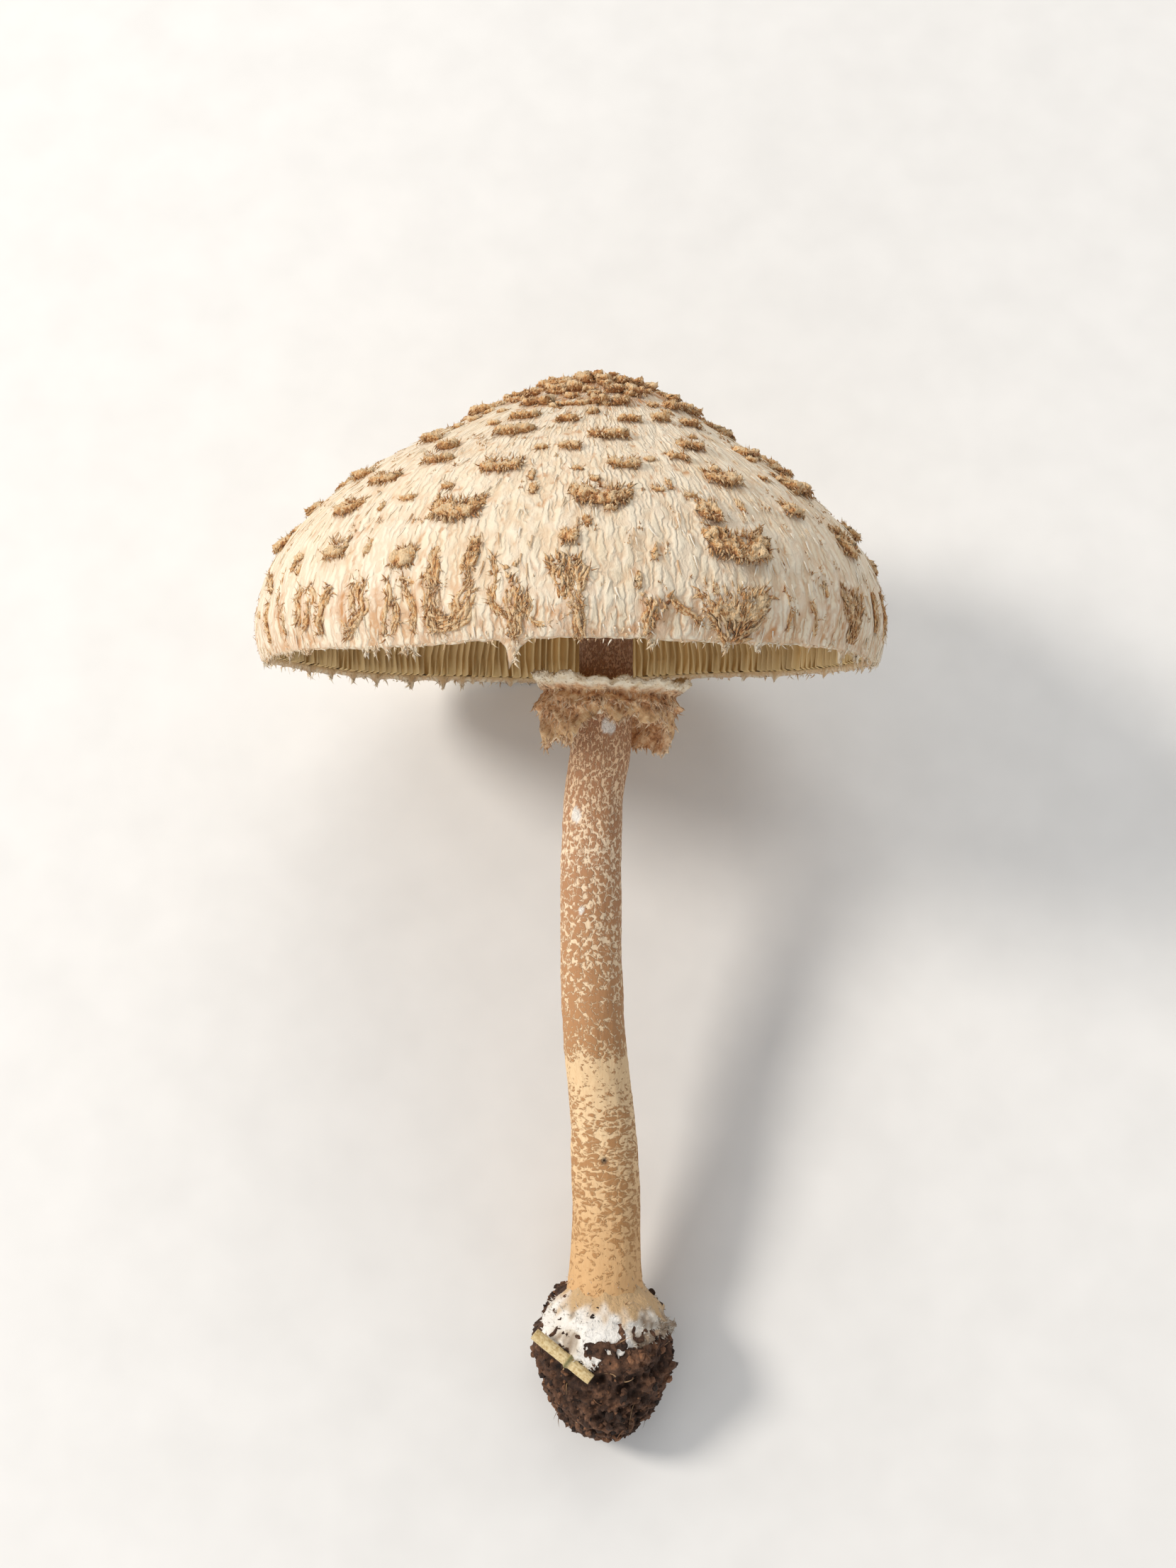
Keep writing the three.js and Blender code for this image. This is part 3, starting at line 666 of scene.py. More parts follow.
def flake(azimuth, way, width, length, lift, rng):
    """A crumpled scale of felt, torn along its upper edge, thick and lifted at its lower one."""
    across = max(5, round(width / FLAKE_CELL))
    downs = max(4, round(length / FLAKE_CELL))
    u = np.linspace(-1, 1, across + 1)[None, :]
    v = np.linspace(0, 1, downs + 1)[:, None]
    seed = rng.integers(1, 9999)
    edge = np.stack([u[0] * width / 2, np.full(across + 1, seed), u[0] * 0], axis=-1)
    blunt = (1 - np.abs(u[0]) ** 3) ** 0.5
    hollow = rng.uniform(0.1, 0.8) * smooth(4, 8, width)
    notch = 1 - hollow * np.exp(-(((u[0] - rng.uniform(-0.35, 0.35)) / 0.4) ** 2))
    top = blunt * notch * (0.6 + 0.6 * rng.random(across + 1) + 0.45 * noise(edge, 2.4, 1))
    low = blunt * (0.85 + 0.22 * noise(edge, 2.6, 2)) + blunt * 0.9 * noise(edge, 0.9, 4) / length
    smile = 0.45 * u[0] ** 2 * smooth(5, 10, width)
    b = length / 2 * (top[None] * (1 - v) - low[None] * v + smile[None])
    a = width / 2 * u * (1 + 0.1 * (1 - v)) + 0.14 * rng.standard_normal(b.shape)
    felt_at = np.stack([a + 0.5 * b * u, b, np.full_like(b, seed)], axis=-1)
    ridges = 1 - 2.6 * np.abs(noise(felt_at, (1.0, 3.6, 1), 5))
    lumps = noise(felt_at, (2.4, 2.0, 1), 6)
    strength = min(1.25, 0.3 + 0.45 * lift)
    crumple = 0.6 * ridges + 0.4 * lumps + 0.25 * noise(felt_at, (0.6, 0.9, 1), 7)
    crumple = crumple * strength + 0.1 * rng.standard_normal(b.shape)
    rise = lift * smooth(-0.1, 0.3, v) * (0.3 + 0.7 * v**1.3) * (1 - np.abs(u) ** 7)
    high = rise + crumple * smooth(-0.1, 0.2, v)
    under = np.minimum(high - 0.45, -0.6 + (0.5 * lift + 0.3) * smooth(0.6, 1, v))
    border = np.zeros(b.shape, bool)
    border[[0, -1], :] = True
    border[:, [0, -1]] = True
    high = np.where(border, 0.45 * high + 0.55 * np.maximum(under, -0.4), high)

    turn = math.radians(azimuth) + a / scale_radius(way)
    down = np.maximum(way - b, 0.3)
    upper = cap_point(turn, down, -high)
    lower = cap_point(turn, down, -under)
    # Painted light and shade: lighter on the crumpled crests and lumps, darker in the creases, at
    # the lower edge and along the border, over a random tone.
    shade = 0.28 + 0.4 * ridges + 0.25 * lumps - 0.1 * smooth(0.75, 1, v)
    shade = shade + rng.normal(0, 0.09, b.shape)
    shade = np.clip(shade - 0.12 * border, 0, 1)

    index = np.arange(b.size).reshape(b.shape)
    inner = np.where(border, -1, 0)
    inner[~border] = b.size + np.arange((~border).sum())
    beneath = np.where(border, index, inner)
    triangles = []
    for grid, order in ((index, (0, 1, 2, 3)), (beneath, (3, 2, 1, 0))):
        # Seen from outside, columns run to the right and rows run down.
        corners = [grid[1:, :-1], grid[1:, 1:], grid[:-1, 1:], grid[:-1, :-1]]
        p, q, r, s = (corners[k].ravel() for k in order)
        triangles += [np.stack([p, q, r], axis=-1), np.stack([p, r, s], axis=-1)]
    points = np.concatenate([upper.reshape(-1, 3), lower[~border]])
    # The underside gets a third of that: painted shade beneath the scale.
    values = {"shade": np.concatenate([shade.ravel(), shade[~border] * 0.3])}
    return points, np.concatenate(triangles), values


def fingers(azimuth, way, width, length, lift, count, rng):
    """Short fingers of felt on a scale, round it and draped over its lower edge: all that strands()
    needs but their sway."""
    u = rng.uniform(-1, 1, count)
    zone = rng.random(count)
    is_top, is_low = zone < 0.32, zone > 0.5
    v = np.where(is_top, rng.uniform(0, 0.3, count), rng.uniform(0.3, 0.9, count))
    v = np.where(is_low, rng.uniform(0.78, 1, count), v)
    a = width / 2 * u * 0.95
    smile = 0.45 * u**2 * float(smooth(5, 10, width))
    b = length / 2 * (0.75 - 1.6 * v + smile)
    turn = math.radians(azimuth) + a / scale_radius(way)
    point, side, down, out = skin_frame(turn, np.maximum(way - b, 0.5))
    stacked = np.where(is_low, rng.uniform(0.4, 1, count), 0.3 + 0.6 * v)
    high = lift * (0.1 + stacked) * (1 - 0.6 * u**4) - 0.2
    lateral = (0.8 * u + rng.normal(0, 0.5, count)) * np.where(is_low, 0.5, 1)
    uphill = np.where(is_top, 1.0, np.where(is_low, -1.0, rng.normal(0.3, 0.5, count)))
    upwards = rng.uniform(0.05, 0.5, count) - rng.uniform(0, 0.8, count) * is_low
    ways = side * lateral[:, None] - down * uphill[:, None] + out * upwards[:, None]
    ways, outs = aimed(ways, out)
    size = min(1.0, 0.45 + 0.08 * min(width, length))
    long = rng.uniform(0.8, 2.0, count) * size * np.where(is_low, 0.85, 1.0)
    wide = rng.uniform(0.35, 0.75, count) * size
    curl = rng.uniform(-0.4, 0.6, count) - 0.3 * is_low
    return point + out * high[:, None], ways, outs, long, wide, curl


def fan(azimuth, way, spread, reach, count, rng):
    """Flat strands of felt that spread uphill from one place without crossing, as for fingers()."""
    u = rng.uniform(-1, 1, count)
    start = rng.uniform(-0.1, 0.95, count) * reach
    half = math.sin(math.radians(spread)) * (0.35 * reach + 0.7 * start)
    turn = math.radians(azimuth) + u * half / ROPE_RADIUS
    point, side, down, out = skin_frame(turn, way - start)
    angle = np.radians(spread * u + rng.normal(0, 16, count))
    ways = side * np.sin(angle)[:, None] - down * np.cos(angle)[:, None]
    ways, outs = aimed(ways + out * rng.uniform(-0.05, 0.2, count)[:, None], out)
    long = reach * rng.uniform(0.12, 0.34, count)
    wide = rng.uniform(0.5, 1.4, count)
    roots = point + out * (1 - 0.6 * np.abs(u))[:, None] * rng.uniform(0.0, 1.1, count)[:, None]
    return roots, ways, outs, long, wide, rng.uniform(-0.15, 0.15, count)


class ParasolSettings(bpy.types.PropertyGroup):
    """Sizes and colours of the mushroom that one may change."""

    flesh: bpy.props.FloatVectorProperty(
        name="Cap flesh",
        description="Cream of the bare skin of the cap",
        subtype="COLOR",
        default=hex_colour("#F1E5CE"),
    )
    scale_brown: bpy.props.FloatVectorProperty(
        name="Scale brown",
        description="Middle brown of the scales",
        subtype="COLOR",
        default=hex_colour("#C48F5E"),
    )
    gill_count: bpy.props.IntProperty(
        name="Gills",
        description="Gills under the cap, long and short together",
        default=240,
        min=40,
        max=260,
    )
    scale_lift: bpy.props.FloatProperty(
        name="Scale lift",
        description="How far the lower edge of a common scale stands off the skin, in millimetres",
        default=1.5,
        min=0.2,
        max=4.0,
    )
    key_power: bpy.props.FloatProperty(
        name="Key light",
        description="Power of the soft light on the left",
        default=29.0,
        min=0.0,
        subtype="POWER",
    )
    top_power: bpy.props.FloatProperty(
        name="Top light",
        description="Power of the large soft light beyond the cap",
        default=12.0,
        min=0.0,
        subtype="POWER",
    )
    front_power: bpy.props.FloatProperty(
        name="Front light",
        description="Power of the large soft light that reaches under the cap",
        default=6.0,
        min=0.0,
        subtype="POWER",
    )
    fill_strength: bpy.props.FloatProperty(
        name="Fill light",
        description="Strength of the even light of the room",
        default=0.5,
        min=0.0,
    )


class MUSHROOM_OT_cap_skin(bpy.types.Operator):
    """Make the flesh of the cap, with its wrinkled skin and the torn edge of its rim"""

    bl_idname = "mushroom.cap_skin"
    bl_label = "Cap skin"

    columns = 640
    rows = 118
    fringe_rows = 4
    under_rows = 18
    drawn_radius = 60  # of the wrinkles, which narrow towards the boss as the skin does

    def execute(self, context):
        azimuth = all_round(self.columns)
        way = (np.linspace(0, 1, self.rows) ** 0.94 * SKIN_LENGTH)[:, None]
        relief, stain, ridge = self.relief(azimuth, way)
        outer = cap_point(azimuth, way, -relief)
        fringe = self.fringe(azimuth, relief[-1:])
        under_way = np.linspace(0.995, 0, self.under_rows)[:, None] * SKIN_LENGTH
        thick = through(FLESH, under_way / SKIN_LENGTH)
        inner = cap_point(azimuth, under_way, thick)
        points = np.concatenate([outer, fringe, inner])[::-1]
        hung = SKIN_LENGTH + np.arange(1, self.fringe_rows + 1)[:, None] * 0.8
        ways = np.concatenate([way, hung, under_way])[::-1]
        rest = np.ones((self.fringe_rows + self.under_rows, self.columns))
        below = np.arange(len(rest))[:, None] >= self.fringe_rows
        values = {
            "stain": np.concatenate([stain, 0.3 * rest])[::-1],
            "ridge": np.concatenate([ridge, 0.2 * rest])[::-1],
            "below": np.concatenate([0 * stain, below * rest])[::-1],
            "thread": wrapped(azimuth, self.drawn_radius, ways),
        }
        piece = lathed("cap_skin", points, values)
        keep_piece(piece, "cap", skin_material(context))
        return {"FINISHED"}

    def relief(self, azimuth, way):
        """Height of the skin over its smooth shape, how brown it is, and how much painted highlight
        the crests of its wrinkles get.
        """
        radius = skin_radius(way)
        round_cap = wrapped(azimuth, np.maximum(radius, 8), way)
        bent = 1.1 * noise(round_cap, 6, 2)[..., None] * np.array([1, 1, 0])
        drawn = wrapped(azimuth, self.drawn_radius, way) + bent
        share = way / SKIN_LENGTH
        lower = smooth(0.55, 0.95, share)
        wrinkles = 1 - 2.2 * np.abs(noise(drawn, (2.4, 2.4, 8), 3))
        finer = noise(drawn, (1.3, 1.3, 4.5), 7)
        swell = rough(round_cap, 15, 11)
        high = (0.1 + 0.2 * lower) * wrinkles + 0.12 * finer + 0.45 * swell
        boss = 1 - smooth(0.08, 0.32, share + 0.12 * noise(round_cap, 5, 14))
        flecks = smooth(0.3, 0.6, rough(round_cap, (1.3, 1.3, 3.2), 17))
        patchy = 0.5 + 0.5 * rough(round_cap, 17, 25)
        tanned = 0.28 * smooth(0.84, 1, share) + 0.2 * lower * smooth(0.35, 0.8, patchy)
        brown = 0.9 * boss + (0.68 - 0.3 * lower) * flecks + tanned
        for scale_azimuth, down, width, length in scales():
            turn = turn_from(math.radians(scale_azimuth), azimuth)
            far_out = (turn * radius / (width * 0.6)) ** 2 + ((way - down) / (length * 0.6)) ** 2
            near_scale = np.exp(-1.4 * far_out)
            high = high + 0.4 * near_scale
            brown = brown + 0.3 * near_scale
        high = high * smooth(0, 3, way)
        return high, np.clip(brown, 0, 1), np.clip(0.5 + 0.5 * wrinkles, 0, 1)

    def fringe(self, azimuth, relief):
        """The veil's torn edge: rows that hang past the rim by a ragged length."""
        turn = azimuth[0]
        ragged = wrapped(turn, RIM_RADIUS, 0)
        tear = 0.45 + 0.5 * rough(ragged, 6, 31) + 0.6 * np.abs(noise(ragged, 1.7, 35))
        teeth = [(math.radians(a), length, width) for a, length, width in TEETH]
        made_up = 34
        for k in range(made_up):
            middle = (k + 0.7 * draw(k + 900)) / made_up * TURN
            if math.cos(middle) < 0.25 and math.sin(middle) > -0.4:
                teeth.append((middle, 1.6 + 2.4 * draw(k + 950) ** 2, 2.2))
        for middle, reach, width in teeth:
            apart = np.abs(turn_from(middle, turn)) * RIM_RADIUS
            tooth = reach * np.clip(1 - apart / (width / 2), 0, 1) ** 0.8
            skirt = 0.45 * reach * np.exp(-((apart / (0.9 * width)) ** 2))
            tear = np.maximum(tear, np.maximum(tooth, skirt))
        tear = np.maximum(tear, 0.15)[None, :]
        steps = np.arange(1, self.fringe_rows + 1)[:, None] / self.fringe_rows
        out = relief * (1 - steps) + 0.1 * steps
        hooked = 0.4 * noise(ragged, 7, 41)[None, :] * steps**2 * tear / RIM_RADIUS
        down = SKIN_LENGTH + tear * steps
        return cap_point(azimuth + hooked, down, -out + 0.5 * steps * tear**0.5)


class MUSHROOM_OT_cap_scales(bpy.types.Operator):
    """Make the crumpled scales of the cap, and the ropes and fingers of felt round them"""

    bl_idname = "mushroom.cap_scales"
    bl_label = "Cap scales"

    seed = 11
    ropes_end = 80  # azimuth in degrees up to which ROPES_IN_VIEW gives the ropes

    def execute(self, context):
        rng = np.random.default_rng(self.seed)
        lift = context.scene.parasol.scale_lift
        flakes, ropes, loose = [], [], []
        for azimuth, way, width, length in scales():
            if is_rope(way, width, length):
                if abs(azimuth) > self.ropes_end:
                    self.rope_group(azimuth, way, width, length, ropes, loose, rng)
                continue
            steep = smooth(75, 50, way)
            high = lift * (0.75 + 0.3 * steep + 0.07 * min(width, length))
            length = length * (1.15 + 0.25 * steep)
            halves = [(azimuth, width)]
            if way < BOSS_END:
                # The crowded boss: two narrow tufts in place of one wide scale.
                off = math.degrees(width * 0.27 / scale_radius(way))
                halves = [(azimuth - off, width * 0.55), (azimuth + off, width * 0.5)]
            if way > RIM_STRIP:
                high, length = high * 0.4, length * 0.7
            for middle, wide in halves:
                down = way + (rng.uniform(-1, 1) if way < BOSS_END else 0)
                flakes.append(flake(middle, down, wide, length, high, rng))
                count = int(14 + 1.3 * wide * length)
                loose.append(fingers(middle, down, wide, length, high, count, rng))
        for azimuth, way, width, length in small_scales(rng):
            high = lift * (0.3 + 0.12 * min(width, length))
            if width * length > 6:
                flakes.append(flake(azimuth, way, width, length, high, rng))
            count = int(4.5 + 0.9 * width * length)
            loose.append(fingers(azimuth, way, width, length, high, count, rng))
        for width, line in ROPES_IN_VIEW:
            body, standing = rope(width, line, rng)
            ropes.append(body)
            loose.append(standing)
        material = scale_material(context)
        keep_piece(from_arrays("cap_scales", *joined(flakes)), "cap", material)
        keep_piece(from_arrays("rim_ropes", *joined(ropes)), "cap", material)
        fans = [fan(*place, rng) for place in FANS_IN_VIEW]
        parts = []
        # Fingers are round and short, the strands of a fan long and flat.
        for group, steps, flat in ((loose, 2, 0.8), (fans, 4, 0.35)):
            shapes = [np.concatenate(values) for values in zip(*group)]
            sway = rng.normal(0, 0.3, len(shapes[0]))
            points, triangles, share, each = strands(*shapes, sway, 3, steps, flat, blunt=1.9)
            tone = np.repeat(rng.uniform(0.0, 0.65, len(sway)), each)
            # Darker at the roots and lighter towards the tips: painted shade among the crowded
            # strands, over a random tone.
            shade = np.clip(tone + 0.3 * share - 0.1, 0, 1)
            parts.append((points, triangles, {"shade": shade}))
        piece = from_arrays("scale_fingers", *joined(parts))
        keep_piece(piece, "cap", material)
        return {"FINISHED"}

    @staticmethod
    def rope_group(azimuth, way, width, length, ropes, loose, rng):
        """Two or three ropes side by side, one of them hooked at its foot."""
        for k in range(int(rng.integers(2, 4))):
            start = azimuth + (k - 1) * rng.uniform(1.5, 2.6)
            top = way - length / 2 + rng.uniform(-1, 2)
            low = min(top + length * rng.uniform(0.7, 1.1), SKIN_LENGTH - 1)
            drift = rng.normal(0, 0.8, 4)
            ways = np.linspace(top, low, 4)
            line = [(start + drift[j], ways[j]) for j in range(4)]
            if k == 1:
                line = line + [(start + 1.8, low + 0.2), (start + 3, low - 1.8)]
            body, standing = rope(rng.uniform(0.9, 1.7), line, rng, threads=3)
            ropes.append(body)
            loose.append(standing)


class MUSHROOM_OT_cap_fibres(bpy.types.Operator):
    """Make the raised fibres of the skin, and the fringe of felt that hangs from the rim"""

    bl_idname = "mushroom.cap_fibres"
    bl_label = "Cap fibres"

    seed = 23
    lying = 1700
    hanging = 1500
    above_rim = 1.1  # where the skin still shows which way it runs

    def execute(self, context):
        rng = np.random.default_rng(self.seed)
        parts = [self.lying_fibres(rng), self.hanging_fibres(rng)]
        piece = from_arrays("cap_fibres", *joined(parts))
        keep_piece(piece, "cap", fibre_material())
        return {"FINISHED"}

    def lying_fibres(self, rng):
        """Fibres that run down the skin."""
        lying = self.lying
        azimuth = rng.uniform(0, TURN, lying)
        share = rng.uniform(0.12, 1, lying) ** 0.5
        point, side, down, out = skin_frame(azimuth, share * (SKIN_LENGTH - 2))
        ways = down + side * rng.normal(0, 0.16, lying)[:, None]
        ways, outs = aimed(ways + out * rng.uniform(-0.02, 0.08, lying)[:, None], out)
        long = rng.uniform(1.5, 4.5, lying)
        roots = point + out * rng.uniform(0.05, 0.35, lying)[:, None]
        wide = rng.uniform(0.25, 0.6, lying)
        tone = rng.random(lying) ** 2 * 0.7
        shape = (roots, ways, outs, long, wide, 0.03, rng.normal(0, 0.15, lying))
        points, triangles, _, each = strands(*shape, steps=3, flat=0.6, blunt=2.0)
        return points, triangles, {"shade": np.repeat(tone, each)}

    def hanging_fibres(self, rng):
        """The fringe of felt on the rim and along its teeth."""
        hanging = self.hanging
        azimuth = rng.uniform(0, TURN, hanging)
        past = rng.uniform(-0.8, 2.0, hanging)
        # A third of them hang along the longest teeth.
        tooth = rng.integers(0, len(TEETH), hanging // 3)
        middle, reach, width = (np.array([row[k] for row in TEETH])[tooth] for k in range(3))
        share = rng.random(len(tooth))
        off = rng.uniform(-0.5, 0.5, len(tooth)) * width * (1 - share)
        azimuth[: len(tooth)] = np.radians(middle) + off / RIM_RADIUS
        past[: len(tooth)] = -share * reach * 0.8
        way = np.full(hanging, SKIN_LENGTH - self.above_rim)
        point, side, down, out = skin_frame(azimuth, way)
        roots = point + down * (self.above_rim - past)[:, None]
        roots = roots + out * rng.uniform(-0.6, 0.3, hanging)[:, None]
        ways = down + side * rng.normal(0, 0.6, hanging)[:, None]
        ways, outs = aimed(ways + out * rng.normal(0.1, 0.3, hanging)[:, None], out)
        long = 0.5 + 1.5 * rng.random(hanging) ** 2
        wide = rng.uniform(0.25, 0.65, hanging)
        curl = rng.uniform(-0.3, 0.4, hanging)
        shape = (roots, ways, outs, long, wide, curl, rng.normal(0, 0.4, hanging))
        points, triangles, share, each = strands(*shape, steps=3, flat=0.8, blunt=1.8)
        tone = np.repeat(rng.random(hanging) * 0.75, each)
        return points, triangles, {"shade": tone * (0.75 + 0.25 * share)}


class MUSHROOM_OT_gills(bpy.types.Operator):
    """Make the gills, thin blades that hang from a web under the flesh"""

    bl_idname = "mushroom.gills"
    bl_label = "Gills"

    rows = 19
    corners = 4  # of each gill's cut: up, down along one face, across its edge and up again
    half_thick = 0.21
    # By tier: the share of the way down where a gill starts, and its depth.
    tier_starts = (0.0, 0.26, 0.5)
    tier_sizes = (1, 0.85, 0.62)

    def execute(self, context):
        count = context.scene.parasol.gill_count
        share = np.linspace(GILL_START, 0.997, self.rows)[:, None]
        gill = np.repeat(np.arange(count), self.corners)[None, :]
        corner = np.tile(np.arange(self.corners), count)[None, :]
        way = share * SKIN_LENGTH
        radius = skin_radius(way)
        half = np.minimum(self.half_thick, radius * TURN / count / 5)
        place = np.stack(
            np.broadcast_arrays(30 * np.cos(gill / count * TURN), way, gill * 1.0), axis=-1
        )
        waver = 0.9 * noise(place, (40, 14, 1.7), 3) + 0.25 * noise(place, (40, 4, 1.7), 5)
        azimuth = gill / count * TURN + np.where(corner < 2, -1, 1) * half / radius
        is_edge = (corner == 1) | (corner == 2)
        azimuth = azimuth + is_edge * waver / radius
        tier = np.where(gill % 2 == 0, 0, np.where(gill % 4 == 1, 1, 2))
        starts = np.array(self.tier_starts)[tier] + 0.06 * draw(gill) * (tier > 0)
        grown = np.where(tier == 0, 1, smooth(starts, starts + 0.16, share))
        size = np.array(self.tier_sizes)[tier] * (0.92 + 0.1 * draw(gill + 50))
        blade = is_edge * through(GILL_DEPTH, share) * size * grown
        blade = blade + is_edge * 0.18 * noise(place, (40, 2.2, 1.3), 9)
        flesh = through(FLESH, share) + GAP
        points = self.down_and_up(
            cap_point(azimuth, way, flesh + GILL_WEB + blade), cap_point(azimuth, way, flesh)
        )
        edge = is_edge * np.ones_like(share)
        reach = share + 0 * edge
        tone = draw(gill * 1.7 + 3) + 0 * share
        values = {
            "edge": self.down_and_up(edge, 0 * edge),
            "reach": self.down_and_up(reach, reach),
            "tone": self.down_and_up(tone, tone),
        }
        piece = lathed("gill_blades", points, values)
        keep_piece(piece, "gills", gill_material())
        return {"FINISHED"}

    @staticmethod
    def down_and_up(below, above):
        """Rows along the gills' edges and back along the web, closed with the first one."""
        return np.concatenate([below, above[::-1], below[:1]])


class MUSHROOM_OT_stem(bpy.types.Operator):
    """Make the stem, whose skin has torn into brown bands and patches as it grew"""

    bl_idname = "mushroom.stem"
    bl_label = "Stem"

    columns = 104
    rows = 400
    pattern_radius = 7

    def execute(self, context):
        azimuth = all_round(self.columns)
        low, high = STEM[0][0], STEM[-1][0]
        z = np.linspace(low, high, self.rows)[:, None]
        x, y, radius = (through(STEM, z, k) for k in (1, 2, 3))
        place = turned(azimuth, radius, z)
        hem = z + 1.8 * noise(place, (2.2, 2.2, 30), 5) + 1.3 * noise(place, (1.1, 1.1, 9), 6)
        edged = np.where(smooth(86, 92, z) * smooth(108, 102, z) > 0, hem, z + 0.4 * (hem - z))
        cover = through(STEM_COVER, edged) + 0.14 * rough(place, (5, 5, 7), 8)
        # The skin's own coordinates: they stretch as the patches do.
        wide, tall = (through(STEM_COVER, z, k) for k in (2, 3))
        tall = np.cumsum((high - low) / self.rows / tall, axis=0)
        pattern = wrapped(azimuth, self.pattern_radius / wide, tall)
        threads = noise(place, (0.8, 0.8, 7), 15)
        bare = np.zeros_like(cover)
        front = np.cos(azimuth) > 0
        across = x + place[..., 0]
        for side, height, width, length in BARE_SPOTS:
            off = ((across - side) / width) ** 2 + ((z - height) / length) ** 2
            off = off + 0.16 * noise(place, 1.2, 17)
            bare = np.maximum(bare, front * smooth(0.3, 0.18, off))
        side, height, width = PIT
        off = np.hypot(across - side, z - height) / width
        pit = smooth(0.7, 0.25, off) * front
        relief = 0.1 * threads + 0.3 * rough(place, 9, 19) + 0.12 * rough(place, 1.6, 21)
        relief = relief + 0.15 * cover - 0.8 * pit + 0.15 * bare
        relief = relief * smooth(0, 3, z - low)
        body = turned(azimuth, radius + relief, z, x, y)
        foot, crown = (
            np.broadcast_to(turned(0.0, 0.0, z[k], x[k], y[k]), (1, self.columns, 3))
            for k in (0, -1)
        )
        values = {"cover": cover, "bare": bare, "pit": pit, "height": z / high, "pattern": pattern}
        values = {k: np.concatenate([v[:1], v, v[-1:]]) for k, v in values.items()}
        piece = lathed("stem_skin", np.concatenate([foot, body, crown]), values)
        keep_piece(piece, "stem", stem_material())
        return {"FINISHED"}


